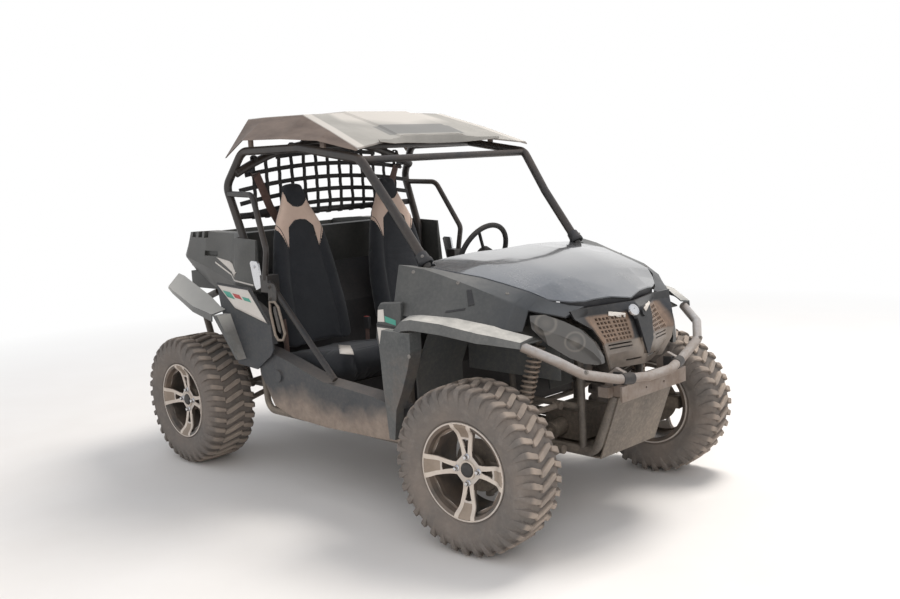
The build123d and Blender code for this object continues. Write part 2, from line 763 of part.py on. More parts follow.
# Nose with its grille
nose_gauge = 9
nose_table = [
    # height, then x and out of the middle, the shield's side, the grille's outer edge and the cheek's ridge
    (662, (1349, 0), (1330, 75), (1300, 150), (1312, 178)),
    (731, (1362, 0), (1352, 75), (1322, 203), (1331, 226)),
    (782, (1357, 0), (1347, 75), (1314, 213), (1331, 246)),
    (838, (1347, 0), (1330, 70), (1270, 220), (1303, 277)),
    (880, (1338, 0), (1310, 68), (1243, 224), (1260, 327)),
    (912, (1304, 0), (1280, 90), (1247, 226), (1250, 340)),
]
shield_table = [
    # height, x, half width
    (704, 1360, 10), (760, 1362, 36), (850, 1346, 54), (892, 1332, 60),
]
grille_window = 10
grille_columns = 4
grille_rows = 6
window_pitch = 15.5
grille_middle_z = 822
with BuildPart() as nose_fascia:
    level_loft(
        [
            (z, [(x, -out) for x, out in line] + [(x - nose_gauge, -out) for x, out in reversed(line)])
            for z, *line in nose_table
        ]
    )
    with BuildSketch(Plane.YZ.offset(1150)) as openings_face:
        for centre_y in (-177, -109):
            with Locations((centre_y, grille_middle_z)):
                with GridLocations(window_pitch, window_pitch, grille_columns, grille_rows):
                    Rectangle(grille_window, grille_window)
        with Locations((-142, 763), (-138, 749)):
            Rectangle(116, 6)
        with Locations((-62, 690)):
            Rectangle(80, 7)
    extrude(openings_face.sketch, amount=300, mode=Mode.SUBTRACT)
    mirror(about=Plane.XZ)
    level_loft(
        [
            (z, [(x - 4, -half_width), (x + 10, -half_width + 5), (x + 10, half_width - 5), (x - 4, half_width)])
            for z, x, half_width in shield_table
        ]
    )
    bar((1346, 0, 872), (1358, 0, 874), 20)
save(nose_fascia, "nose_fascia")

# Lamps, front and rear
lamp_table = [
    # x, top out, top z, bulge out, bulge z, bottom out, bottom z
    (1140, 450, 905, 450, 885, 442, 852),
    (1182, 412, 906, 426, 850, 400, 787),
    (1232, 359, 876, 372, 820, 336, 730),
    (1275, 314, 842, 326, 790, 300, 706),
    (1312, 279, 790, 288, 750, 268, 698),
    (1328, 262, 735, 264, 716, 258, 702),
]
with BuildPart() as lamps:
    station_loft(
        [
            (
                x,
                [
                    (top, top_z), (middle, middle_z), (bottom, bottom_z), (bottom - 20, bottom_z + 2),
                    (middle - 24, middle_z), (top - 20, top_z - 8),
                ],
            )
            for x, top, top_z, middle, middle_z, bottom, bottom_z in lamp_table
        ]
    )
    block(-1312, -1290.3, -450, -340, 1010, 1066)
    mirror(about=Plane.XZ)
save(lamps, "lamps")

# Front bumper
bumper_x = overall_half_length - bumper_radius
with BuildPart() as front_bumper:
    bent_tube(
        [
            (1184, -554, 806), (1290, -490, 752), (1346, -400, 690), (1376, -220, 640), (bumper_x, -80, 630),
            (bumper_x, 80, 630), (1376, 220, 640), (1346, 400, 690), (1290, 490, 752), (1184, 554, 806),
        ],
        bumper_radius, 30,
    )
    for y in (-180, 180):
        with BuildSketch(Plane.XZ.offset(-y - 9)):
            outline_face([(1290, 560), (1290, 640), (1340, 676), (1392, 656), (1396, 560)])
        extrude(amount=18)
    block(1280, 1330, -225, 225, 560, 600)
    block(1386, 1395, -225, 225, 550, 612)
    with BuildSketch(Plane(origin=(1400, 0, 580), x_dir=(0, 1, 0), z_dir=(-1, 0, 0))):
        with Locations((-fairlead_spacing / 2, 0), (fairlead_spacing / 2, 0)):
            Circle(5)
    extrude(amount=20, mode=Mode.SUBTRACT)
save(front_bumper, "front_bumper")

# Skid plate
skid_top = rail_z - rail_radius - seat_gap
skid_gauge = 6
skid_foot_x = 1254
with BuildPart() as skid_plate:
    with BuildSketch(Plane.XZ.offset(-190)):
        outline_face(
            [
                (skid_foot_x + 95, 556), (skid_foot_x, skid_top), (-480, skid_top), (-480, skid_top - skid_gauge),
                (skid_foot_x + 4, skid_top - skid_gauge), (skid_foot_x + 101, 556),
            ]
        )
    extrude(amount=380)
save(skid_plate, "skid_plate")

# Suspension arms, front and rear
lower_pivot_z = rail_z
upper_pivot_z = 500
low_sleeve = 18
high_sleeve = 16
front_strut_y = 202
rear_strut_y = 240
arm_radius = 14
front_high_spread = 90
low_pivot_y = rail_y + rail_radius + low_sleeve + seat_gap
high_pivot_out = strut_radius + high_sleeve + seat_gap


def arm_pair(axle_x, ball_out, low_spread, high_spread, radius, low_y, high_y):
    """Lower and upper wishbone of one wheel on the right side."""
    low_ball = (axle_x, -ball_out, hub_z - ball_joint_drop)
    high_ball = (axle_x, -ball_out, hub_z + ball_joint_drop)
    for end in (-1, 1):
        low_x = axle_x + end * low_spread
        high_x = axle_x + end * high_spread
        bar((low_x, -low_y, lower_pivot_z), low_ball, radius)
        bar((high_x, -high_y, upper_pivot_z), high_ball, radius - 2)
        bar((low_x - 20, -low_y, lower_pivot_z), (low_x + 20, -low_y, lower_pivot_z), low_sleeve)
        bar((high_x - 18, -high_y, upper_pivot_z), (high_x + 18, -high_y, upper_pivot_z), high_sleeve)
    with Locations(low_ball, high_ball):
        Cylinder(17, 24)
    bar(low_ball, (axle_x, -ball_out, hub_z - 88), stud_radius)
    bar(high_ball, (axle_x, -ball_out, hub_z + 88), stud_radius)


rear_ball_y = 548
shock_table = [
    # low end, high end, spring radius
    ((1033, -405, 470), (1085, -340, 790), 33),
    ((-985, -424, 290), (-930, -366, 838), 36),
]
with BuildPart() as suspension_arms:
    for axle_x, ball_y, high_spread, strut_y in (
        (front_axle_x, kingpin_y, front_high_spread, front_strut_y), (rear_axle_x, rear_ball_y, 60, rear_strut_y)
    ):
        arm_pair(axle_x, ball_y, 100, high_spread, arm_radius, low_pivot_y, strut_y + high_pivot_out)
    low, high, spring_radius = shock_table[-1]
    low = Vector(*low)
    way = (Vector(*high) - low).normalized()
    bar(low - way * (12 + seat_gap), low - way * 34, arm_radius)
    mirror(about=Plane.XZ)
save(suspension_arms, "suspension_arms")

with BuildPart() as rear_carriers:
    section = out_plane(-1, rear_axle_x, rear_wheel_y, hub_z)
    with BuildSketch(section):
        outline_face([(-100, 46), (-40, 46), (-40, 20.05), (-25, 20.05), (-25, 58), (-100, 58)])
    revolve(axis=spin_axis(-1, rear_axle_x, rear_wheel_y, hub_z))
    for up in (-1, 1):
        block(
            rear_axle_x - 24, rear_axle_x + 24, -rear_ball_y - 16, -rear_ball_y + 16,
            hub_z + (52 if up > 0 else -104), hub_z + (104 if up > 0 else -52),
        )
        stud_end = (rear_axle_x, -rear_ball_y, hub_z + up * (88 - seat_gap))
        bar(stud_end, (rear_axle_x, -rear_ball_y, hub_z + up * 120), stud_radius + seat_gap, mode=Mode.SUBTRACT)
    block(rear_axle_x + 50, rear_axle_x + 100, -600, -560, hub_z - 30, hub_z + 60)
    mirror(about=Plane.XZ)
save(rear_carriers, "rear_carriers")

# Shocks and springs
with BuildPart() as shocks:
    for low, high, spring_radius in shock_table:
        low = Vector(*low)
        high = Vector(*high)
        way = (high - low).normalized()
        bar(low, low + way * 150, 20)
        bar(low + way * 100, high, 9)
        bar(low - way * 12, low + way * 14, 16)
        bar(high - way * 10, high + way * 14, 16)
        bar(high - way * 34, high - way * 26, spring_radius + 1)
        bar(low + way * 38, low + way * 46, spring_radius + 1)
    bar(
        (front_axle_x + front_high_spread, -front_strut_y - high_pivot_out, upper_pivot_z),
        (front_axle_x, -kingpin_y, hub_z + ball_joint_drop), arm_radius - 2 + seat_gap, mode=Mode.SUBTRACT,
    )
    mirror(about=Plane.XZ)
save(shocks, "shocks")

with BuildPart() as springs:
    for low, high, spring_radius in shock_table:
        low = Vector(*low)
        high = Vector(*high)
        way = (high - low).normalized()
        with BuildSketch(Plane(origin=low + way * 46, z_dir=way)):
            Circle(spring_radius)
            Circle(20.3, mode=Mode.SUBTRACT)
        extrude(amount=(high - low).length - 80)
    mirror(about=Plane.XZ)
save(springs, "springs")

# Half shafts
with BuildPart() as half_shafts:
    for axle_x, joint_out in ((front_axle_x, kingpin_y), (rear_axle_x, rear_wheel_y - 75)):
        bar((axle_x, -120, 372), (axle_x, -joint_out, hub_z), half_shaft_radius)
        with Locations((axle_x, -joint_out, hub_z)):
            Sphere(28)
        bar((axle_x, -100, 374), (axle_x, -176, 364), 38)
    mirror(about=Plane.XZ)
    block(rack_x + 24 + seat_gap, front_axle_x + 100, -100, 100, 318, 440)
    block(rear_bar_x + strut_radius + seat_gap, rear_axle_x + 100, -100, 100, 318, 450)
save(half_shafts, "half_shafts")

# Engine
with BuildPart() as engine_block:
    block(-936, -580, -170, 170, 322 + strut_radius + seat_gap, 780)
save(engine_block, "engine_block")

# Muffler
with BuildPart() as muffler:
    bar((-1290, -230, 700), (-1290, 230, 700), 75)
    bar((-1290, 100, 700), (-1400, 100, 640), 24)
    for y in (-180, 180):
        bar((-1241.5, y, 745), (-1241.5, y, 866), 8)
save(muffler, "muffler")

# Rear bumper
rear_tube_x = rail_radius - overall_half_length
tow_hole_x = tow_hole_from_end - overall_half_length
plate_back_x = rear_tube_x + 11
rear_tube_y = 330 + brace_radius + rail_radius + seat_gap
with BuildPart() as rear_bumper:
    bent_tube(
        [
            (-1200, -rear_tube_y, 860), (rear_tube_x + 30, -rear_tube_y, 800), (rear_tube_x, -300, 560),
            (rear_tube_x, 300, 560), (rear_tube_x + 30, rear_tube_y, 800), (-1200, rear_tube_y, 860),
        ],
        rail_radius, 50,
    )
    block(plate_back_x, tow_hole_x + 100, -45, 45, 536, 548)
    with BuildSketch(Plane.XY.offset(530)):
        with Locations((tow_hole_x, 0)):
            Circle(tow_hole_radius)
    extrude(amount=30, mode=Mode.SUBTRACT)
save(rear_bumper, "rear_bumper")

# Cargo box
cargo_floor_z = 925
box_table = [
    # x, bottom out, bottom z, crease out, crease z, top out, top z
    (-1290, 430, 985, 496, 1075, 466, 1150),
    (-1200, 470, 962, 545, 1070, 505, 1202),
    (-980, 520, 918, 572, 1035, 540, 1211),
    (-700, 540, 900, 592, 967, 552, 1205),
    (-612, 570, 902, 626, 952, 610, 1190),
    (-430, 584, 905, 632, 944, 612, 1180),
]
rim_notches = (-1140, -1062, -984)
tube_reach = 582 + cage_radius + seat_gap
with BuildPart() as cargo_box:
    station_loft(
        [
            (
                x,
                [
                    (-bottom, bottom_z), (-crease, crease_z), (-top, top_z), (top, top_z), (crease, crease_z),
                    (bottom, bottom_z),
                ],
            )
            for x, bottom, bottom_z, crease, crease_z, top, top_z in box_table
        ]
    )
    block(-1240, -690, -500, 500, 900, 990)
    block(-1215, -710, -470, 470, cargo_floor_z, 1300, mode=Mode.SUBTRACT)
    block(-676, -400, -540, 540, 880, 1300, mode=Mode.SUBTRACT)
    block(-612, -400, -tube_reach, tube_reach, 880, 1300, mode=Mode.SUBTRACT)
    for side in (-1, 1):
        for x in rim_notches:
            block(x - 24, x + 24, side * 545 - 38, side * 545 + 38, 1176, 1230, mode=Mode.SUBTRACT)
        block(-985, -850, side * 570 - 26, side * 570 + 26, 1086, 1112, mode=Mode.SUBTRACT)
save(cargo_box, "cargo_box")
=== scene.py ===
# Looks of the two-seat off-road buggy: materials, soft parts and small details over the fixed frame.

import json
import math

import bpy
import bmesh
from mathutils import Matrix, Vector
from mathutils.bvhtree import BVHTree


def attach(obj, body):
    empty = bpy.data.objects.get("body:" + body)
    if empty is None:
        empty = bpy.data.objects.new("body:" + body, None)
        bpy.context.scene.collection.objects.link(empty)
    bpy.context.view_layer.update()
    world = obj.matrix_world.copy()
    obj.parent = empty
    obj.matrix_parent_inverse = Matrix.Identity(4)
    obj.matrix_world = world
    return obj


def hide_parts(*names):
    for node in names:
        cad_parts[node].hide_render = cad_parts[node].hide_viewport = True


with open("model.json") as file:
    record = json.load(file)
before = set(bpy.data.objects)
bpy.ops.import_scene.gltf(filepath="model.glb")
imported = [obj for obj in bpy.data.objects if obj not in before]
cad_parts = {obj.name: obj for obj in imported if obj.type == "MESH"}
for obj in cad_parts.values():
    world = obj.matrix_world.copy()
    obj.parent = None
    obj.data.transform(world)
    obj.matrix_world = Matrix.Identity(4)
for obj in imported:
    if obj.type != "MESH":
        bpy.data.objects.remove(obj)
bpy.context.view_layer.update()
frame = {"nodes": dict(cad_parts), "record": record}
nodes = frame["nodes"]
scene = bpy.context.scene
joints = frame["record"]["behaviour"]["joints"]
SPINS = {joint["child"]: joint for joint in joints if joint["name"].startswith("spin_")}
PLACES = ("front_right", "front_left", "rear_right", "rear_left")
SIDES = ((-1, "right"), (1, "left"))
UP = Vector((0, 0, 1))
CAMERA_PLACE = (3.5833, -3.2742, 1.5015)
DUST = (0.46, 0.38, 0.30)
PALE_DUST = (0.60, 0.55, 0.49)
LIP_RADIUS = 0.194
looks = {}


# Shader helpers
def connect(tree, node, inputs):
    """Inputs of a node by name or number, each linked to a socket or set to a plain value."""
    for name, value in inputs.items():
        if isinstance(value, bpy.types.NodeSocket):
            tree.links.new(value, node.inputs[name])
        else:
            node.inputs[name].default_value = value


def add_node(tree, kind, inputs=None, **settings):
    """New shader node with its settings and its inputs."""
    node = tree.nodes.new("ShaderNode" + kind)
    for name, value in settings.items():
        setattr(node, name, value)
    connect(tree, node, inputs or {})
    return node


def new_material(name):
    """Node material with its output and a principled shader, kept in looks under its name."""
    material = bpy.data.materials.new(name)
    material.use_nodes = True
    tree = material.node_tree
    tree.nodes.clear()
    shader = add_node(tree, "BsdfPrincipled")
    add_node(tree, "OutputMaterial", {"Surface": shader.outputs["BSDF"]})
    looks[name] = material
    return tree, shader


def place_in(tree):
    """Object coordinates, which are the model's own coordinates at rest."""
    return add_node(tree, "TexCoord").outputs["Object"]


def split(tree, vector):
    """The three numbers of a vector."""
    return add_node(tree, "SeparateXYZ", {0: vector}).outputs


def coordinate(tree, axis):
    """One of the model's own coordinates at rest, in metres."""
    return split(tree, place_in(tree))[axis]


def normal_part(tree, axis):
    """One part of the surface's own normal, in the model's own directions at rest."""
    return split(tree, add_node(tree, "TexCoord").outputs["Normal"])[axis]


def noise(tree, scale, detail=3.0, roughness=0.6, stretch=None):
    """Noise texture on the model's own coordinates, stretched along an axis if asked."""
    coords = place_in(tree)
    if stretch:
        coords = add_node(tree, "Mapping", {"Scale": stretch, "Vector": coords}).outputs["Vector"]
    inputs = {"Scale": scale, "Detail": detail, "Roughness": roughness, "Vector": coords}
    return add_node(tree, "TexNoise", inputs).outputs["Fac"]


def ramp(tree, value, low, high, low_value=0.0, high_value=1.0):
    """Straight remap of a value between two limits, clamped."""
    inputs = {"From Min": low, "From Max": high, "To Min": low_value, "To Max": high_value, "Value": value}
    return add_node(tree, "MapRange", inputs).outputs["Result"]


def fade(tree, value, low, high):
    """1 below one limit, 0 above another."""
    return ramp(tree, value, low, high, 1.0, 0.0)


def maths(tree, operation, first, second=0.0, clamp=True):
    """Maths node on two values, each a socket or a number."""
    inputs = {0: first, 1: second}
    return add_node(tree, "Math", inputs, operation=operation, use_clamp=clamp).outputs[0]


def free(tree, operation, first, second=0.0):
    """Maths node whose result isn't clamped."""
    return maths(tree, operation, first, second, clamp=False)


def times(tree, first, *others):
    """Product of several values, clamped."""
    for other in others:
        first = maths(tree, "MULTIPLY", first, other)
    return first


def mixed(tree, factor, first, second):
    """Colour mix; each colour is a tuple or a socket."""
    colours = [value + (1.0,) if isinstance(value, tuple) else value for value in (first, second)]
    inputs = {"Factor": factor, 6: colours[0], 7: colours[1]}
    return add_node(tree, "Mix", inputs, data_type="RGBA").outputs[2]


def within(tree, axis, low, high, blur=0.004):
    """1 between two places along an axis, with soft ends."""
    value = coordinate(tree, axis)
    above = ramp(tree, value, low - blur, low + blur)
    return times(tree, above, fade(tree, value, high - blur, high + blur))


def bump(tree, shader, height, strength, distance):
    """Bump from a height value."""
    node = add_node(tree, "Bump", {"Strength": strength, "Distance": distance, "Height": height})
    connect(tree, shader, {"Normal": node.outputs["Normal"]})


def dust_amount(tree, up, low, everywhere, low_limits=(0.25, 1.0)):
    """Dust on what faces up or lies low, in soft uneven films with fine specks."""
    film = ramp(tree, noise(tree, 3.2, 5.0, 0.62), 0.32, 0.68, 0.35, 1.0)
    streaks = ramp(tree, noise(tree, 9.0, 4.0, 0.7, (1.0, 1.0, 0.25)), 0.35, 0.75, 0.6, 1.0)
    specks = ramp(tree, noise(tree, 70.0, 3.0, 0.7), 0.42, 0.72)
    on_top = times(tree, ramp(tree, normal_part(tree, "Z"), 0.0, 1.0), up)
    low_down = times(tree, fade(tree, coordinate(tree, "Z"), *low_limits), low)
    films = times(tree, maths(tree, "ADD", on_top, low_down), film, streaks)
    return maths(tree, "ADD", films, times(tree, specks, everywhere))


def dusty(name, colour, second, rough, metal, up, low, everywhere, grain_strength=0.2, dust=DUST, grain=320.0,
          coat=0.0, low_limits=(0.25, 1.0), finish=None):
    """Painted, moulded or cast surface with colour variation, fine grain and dust."""
    tree, shader = new_material(name)
    base = mixed(tree, ramp(tree, noise(tree, 6.0, 4.0), 0.3, 0.7), colour, second)
    amount = dust_amount(tree, up, low, everywhere, low_limits)
    surface = mixed(tree, amount, base, dust)
    if finish:
        surface = finish(tree, surface)
    roughness = ramp(tree, amount, 0.0, 0.8, rough, 0.92)
    connect(tree, shader, {"Base Color": surface, "Metallic": metal, "Roughness": roughness})
    if coat:
        connect(tree, shader, {"Coat Weight": coat, "Coat Roughness": 0.08})
    if grain_strength:
        bump(tree, shader, noise(tree, grain, 2.0), grain_strength, 0.0008)


def woven(name, colour, second, threads, strength, dust):
    """Woven cloth: two crossing wave patterns, with colour variation, painted shade in the weave's hollows
    and some dust.
    """
    tree, shader = new_material(name)
    heights = []
    for axis in ("Y", "Z"):
        inputs = {"Scale": threads / 20, "Distortion": 0.6, "Vector": place_in(tree)}
        heights.append(add_node(tree, "TexWave", inputs, bands_direction=axis).outputs["Fac"])
    cloth = times(tree, *heights)
    base = mixed(tree, ramp(tree, noise(tree, 12.0, 4.0), 0.3, 0.7), colour, second)
    # Painted shade: the hollows of the weave are darkened towards half the cloth's colour.
    weave_hollow_shade = ramp(tree, cloth, 0.0, 1.0, 0.25, 0.0)
    base = mixed(tree, weave_hollow_shade, base, tuple(0.5 * part for part in colour))
    amount = dust_amount(tree, dust, dust, 0.5 * dust)
    surface = mixed(tree, amount, base, DUST)
    connect(tree, shader, {"Base Color": surface, "Roughness": 0.85, "Sheen Weight": 0.15})
    bump(tree, shader, cloth, strength, 0.0006)


# Finishes of single surfaces, over their dust
def roof_tones_and_shade(tree, surface):
    """Streaked brown painted shade on the side flaps and on faces turned down, a cream ridge along each
    crease, and a grey blank recess in front.
    """
    place = split(tree, place_in(tree))
    crease = free(tree, "ADD", ramp(tree, place["X"], -0.196, 0.060, 0.450, 0.505),
                  ramp(tree, place["X"], 0.060, 0.300, 0.0, 0.041))
    out = free(tree, "SUBTRACT", free(tree, "ABSOLUTE", place["Y"]), crease)
    edge = free(tree, "ADD", place["X"], free(tree, "MULTIPLY", out, 0.35))
    cream = times(tree, fade(tree, edge, -0.16, -0.06), fade(tree, out, -0.17, -0.13))
    pale = times(tree, maths(tree, "ADD", cream, ramp(tree, out, -0.050, -0.042)), 0.80)
    surface = mixed(tree, pale, surface, (0.48, 0.445, 0.405))
    recess = times(tree, within(tree, "Y", -0.245, 0.245), within(tree, "X", 0.052, 0.172), 0.8)
    surface = mixed(tree, recess, surface, (0.155, 0.152, 0.145))
    # Painted shade: the side flaps and every face turned down take a streaked dark brown.
    streak = ramp(tree, noise(tree, 14.0, 4.0, 0.7, (0.3, 1.0, 1.0)), 0.3, 0.7)
    brown = mixed(tree, streak, (0.115, 0.085, 0.068), (0.20, 0.15, 0.12))
    under = fade(tree, normal_part(tree, "Z"), -0.2, 0.1)
    return mixed(tree, maths(tree, "MAXIMUM", ramp(tree, out, 0.001, 0.006), under), surface, brown)


def nose_finish(tree, surface):
    """Brown dust in the grille, black shield, pale dust on the chin."""
    across = free(tree, "ABSOLUTE", coordinate(tree, "Y"))
    field = times(tree, ramp(tree, across, 0.062, 0.070), fade(tree, across, 0.235, 0.265))
    grille = times(tree, within(tree, "Z", 0.772, 0.876), within(tree, "X", 1.20, 1.348))
    grain = ramp(tree, noise(tree, 60.0, 4.0, 0.7), 0.3, 0.7, 0.55, 0.9)
    surface = mixed(tree, times(tree, grille, field, grain), surface, (0.245, 0.165, 0.115))
    patch = ramp(tree, noise(tree, 7.0, 4.0), 0.3, 0.6, 0.35, 0.8)
    side = ramp(tree, coordinate(tree, "X"), 1.362, 1.366, 0.75, 0.0)
    chin = times(tree, within(tree, "Z", 0.60, 0.772), patch, side)
    return mixed(tree, chin, surface, (0.40, 0.33, 0.27))


def panel_finish(tree, surface):
    """Darker plastic towards the lamps."""
    ahead = ramp(tree, coordinate(tree, "X"), 0.90, 1.12, 0.0, 0.65)
    return mixed(tree, ahead, surface, (0.020, 0.022, 0.026))


def flare_highlight_and_dirt(tree, surface):
    """Painted highlight on the upward faces of the rear flares, and a brown film down the legs and where the
    inner side shows.
    """
    # Painted highlight: the rear flares' faces that turn up are made pale.
    rear_top_highlight = times(tree, ramp(tree, coordinate(tree, "X"), -0.62, -0.58, 0.75, 0.0),
                     ramp(tree, normal_part(tree, "Z"), 0.10, 0.35))
    surface = mixed(tree, rear_top_highlight, surface, (0.50, 0.48, 0.44))
    patch = ramp(tree, noise(tree, 5.0, 4.0, 0.65), 0.46, 0.62)
    film = times(tree, patch, within(tree, "Z", 0.30, 0.74, 0.03), 0.35)
    return mixed(tree, film, surface, (0.19, 0.14, 0.105))


def sill_finish(tree, surface):
    """Even brown dust on the lower half, with runs up from it, under a cleaner dark top."""
    wave = ramp(tree, noise(tree, 4.0, 4.0, 0.6), 0.3, 0.7, -0.05, 0.05)
    height = free(tree, "ADD", coordinate(tree, "Z"), wave)
    tone = ramp(tree, noise(tree, 22.0, 4.0, 0.7), 0.3, 0.7)
    brown = mixed(tree, tone, (0.23, 0.175, 0.14), (0.36, 0.285, 0.225))
    return mixed(tree, ramp(tree, height, 0.40, 0.49, 0.85, 0.0), surface, brown)


def bumper_dirt_and_shade(tree, surface):
    """Flat brackets carry brown dirt; the tube's faces that turn down are darkened brown as painted shade, so
    its silver shows on the sides that face up.
    """
    patch = ramp(tree, noise(tree, 9.0, 4.0, 0.65), 0.35, 0.65, 0.25, 0.9)
    below = ramp(tree, coordinate(tree, "Z"), 0.600, 0.625, 1.0, 0.15)
    surface = mixed(tree, times(tree, patch, below), surface, (0.215, 0.155, 0.115))
    # Painted shade: darker brown on the faces that turn down.
    shade = ramp(tree, normal_part(tree, "Z"), -0.35, 0.45, 0.70, 0.0)
    return mixed(tree, shade, surface, (0.20, 0.155, 0.125))


def from_axle(tree, place):
    """Distance of a point from a wheel's axle, in metres."""
    joint = SPINS["wheel_" + place]
    offset = add_node(tree, "VectorMath", {0: place_in(tree), 1: joint["pos_m"]}, operation="SUBTRACT")
    inputs = {0: offset.outputs["Vector"], 1: joint["axis"]}
    product = add_node(tree, "VectorMath", inputs, operation="CROSS_PRODUCT")
    return add_node(tree, "VectorMath", {0: product.outputs["Vector"]}, operation="LENGTH").outputs["Value"]


def rim_finish(place):
    """Finish of one wheel's rim: bright machined spoke faces and lip edge, the rest dark and dusty."""
    def finish(tree, surface):
        away = fade(tree, free(tree, "ABSOLUTE", normal_part(tree, "Y")), 0.80, 0.90)
        radius = from_axle(tree, place)
        lip_limits = (LIP_RADIUS - 0.0065, LIP_RADIUS - 0.0055)
        barrel = times(tree, ramp(tree, radius, 0.1595, 0.1605), fade(tree, radius, *lip_limits))
        lip = ramp(tree, radius, *lip_limits)
        dark_part = maths(tree, "SUBTRACT", maths(tree, "MAXIMUM", away, barrel), lip)
        tone = ramp(tree, noise(tree, 8.0, 3.0), 0.35, 0.65)
        dark = mixed(tree, tone, (0.040, 0.036, 0.032), (0.16, 0.115, 0.085))
        return mixed(tree, times(tree, dark_part, 0.92), surface, dark)
    return finish


def tyre_finish(place):
    """Finish of one tyre: paler scuffs, and sand on the faces of the lugs that meet the ground."""
    def finish(tree, surface):
        scuff = ramp(tree, noise(tree, 26.0, 4.0, 0.7), 0.52, 0.75, 0.0, 0.30)
        surface = mixed(tree, scuff, surface, (0.30, 0.27, 0.245))
        sand = times(tree, ramp(tree, from_axle(tree, place), 0.321, 0.330),
                     ramp(tree, noise(tree, 9.0, 3.0), 0.35, 0.65, 0.35, 0.85))
        return mixed(tree, sand, surface, (0.40, 0.325, 0.265))
    return finish


# Materials
PLAIN_LOOKS = (
    # name, colour, second colour, roughness, metal, dust on top, dust low down, dust everywhere, grain,
    # colour of the dust
    ("rim_marks", (0.70, 0.62, 0.54), (0.58, 0.50, 0.43), 0.4, 0.2, 0.1, 0.0, 0.12, 0.2, (0.40, 0.30, 0.22)),
    ("rim_sand", (0.36, 0.29, 0.23), (0.22, 0.17, 0.13), 0.7, 0.0, 0.3, 0.0, 0.15),
    ("dull_iron", (0.06, 0.055, 0.05), (0.10, 0.08, 0.065), 0.7, 0.4, 0.4, 0.5, 0.2),
    ("frame_paint", (0.020, 0.020, 0.022), (0.035, 0.032, 0.029), 0.45, 0.0, 0.5, 0.55, 0.12, 0.12),
    ("cage_paint", (0.016, 0.017, 0.019), (0.040, 0.031, 0.025), 0.36, 0.0, 0.14, 0.0, 0.06, 0.10,
     (0.27, 0.20, 0.15)),
    ("dark_plastic", (0.011, 0.012, 0.015), (0.020, 0.021, 0.024), 0.5, 0.0, 0.12, 0.12, 0.03),
    ("liner_plastic", (0.062, 0.070, 0.074), (0.085, 0.088, 0.086), 0.5, 0.0, 0.25, 0.15, 0.1),
    ("grey_plastic", (0.036, 0.037, 0.035), (0.056, 0.056, 0.052), 0.45, 0.0, 0.30, 0.0, 0.05, 0.12,
     (0.42, 0.37, 0.31)),
    ("running_gear", (0.035, 0.033, 0.031), (0.07, 0.055, 0.045), 0.6, 0.0, 0.5, 0.5, 0.2),
    ("dusty_bracket", (0.16, 0.14, 0.12), (0.25, 0.20, 0.16), 0.8, 0.0, 0.5, 0.5, 0.3, 0.2,
     (0.48, 0.38, 0.29)),
    ("spring_steel", (0.30, 0.235, 0.19), (0.24, 0.185, 0.145), 0.5, 0.2, 0.3, 0.1, 0.2),
    ("engine_alloy", (0.22, 0.21, 0.20), (0.16, 0.15, 0.14), 0.55, 0.5, 0.4, 0.3, 0.3),
    ("exhaust_steel", (0.28, 0.26, 0.24), (0.20, 0.17, 0.15), 0.45, 0.7, 0.4, 0.3, 0.25),
    ("bolt_steel", (0.30, 0.29, 0.28), (0.20, 0.18, 0.16), 0.4, 0.8, 0.4, 0.3, 0.2),
    ("blank_decal", (0.66, 0.62, 0.57), (0.60, 0.55, 0.50), 0.45, 0.0, 0.2, 0.0, 0.12),
    ("green_stripe", (0.05, 0.30, 0.22), (0.07, 0.34, 0.26), 0.45, 0.0, 0.2, 0.0, 0.1),
    ("red_stripe", (0.42, 0.045, 0.045), (0.46, 0.07, 0.06), 0.45, 0.0, 0.2, 0.0, 0.1),
    ("bright_trim", (0.66, 0.66, 0.68), (0.60, 0.60, 0.61), 0.22, 0.9, 0.1, 0.0, 0.05, 0.05),
)
SPECIAL_LOOKS = (
    # the same columns, and what else the surface has
    (("sill_plastic", (0.036, 0.040, 0.046), (0.062, 0.064, 0.066), 0.6, 0.0, 0.3, 0.3, 0.08, 0.2,
      (0.33, 0.26, 0.205)), {"low_limits": (0.30, 0.50), "finish": sill_finish}),
    (("panel_plastic", (0.034, 0.037, 0.038), (0.066, 0.067, 0.064), 0.34, 0.0, 0.34, 0.0, 0.05, 0.08,
      (0.46, 0.43, 0.39)), {"finish": panel_finish}),
    # The flares' strong pale dust on faces that turn up is partly dust and partly painted highlight on their
    # sunlit tops.
    (("flare_plastic", (0.052, 0.056, 0.057), (0.082, 0.084, 0.082), 0.45, 0.0, 1.25, 0.12, 0.06, 0.12,
      (0.62, 0.59, 0.54)), {"low_limits": (0.35, 0.8), "finish": flare_highlight_and_dirt}),
    (("roof_plastic", (0.235, 0.225, 0.205), (0.30, 0.285, 0.26), 0.6, 0.0, 0.22, 0.0, 0.06, 0.12,
      (0.44, 0.40, 0.35)), {"finish": roof_tones_and_shade}),
    (("nose_plastic", (0.010, 0.011, 0.013), (0.020, 0.021, 0.023), 0.28, 0.0, 0.08, 0.0, 0.05, 0.06,
      (0.34, 0.27, 0.21)), {"finish": nose_finish}),
    (("hood_gloss", (0.034, 0.039, 0.048), (0.050, 0.056, 0.066), 0.15, 0.0, 0.16, 0.0, 0.03, 0.0, PALE_DUST),
     {"coat": 1.0}),
    (("silver_tube", (0.50, 0.49, 0.48), (0.36, 0.32, 0.29), 0.36, 0.35, 0.0, 0.55, 0.25, 0.1,
      (0.30, 0.215, 0.155)), {"low_limits": (0.62, 0.76), "finish": bumper_dirt_and_shade}),
    (("grip_foam", (0.020, 0.020, 0.022), (0.032, 0.031, 0.030), 0.75, 0.0, 0.1, 0.3, 0.05, 0.5),
     {"grain": 600.0}),
)
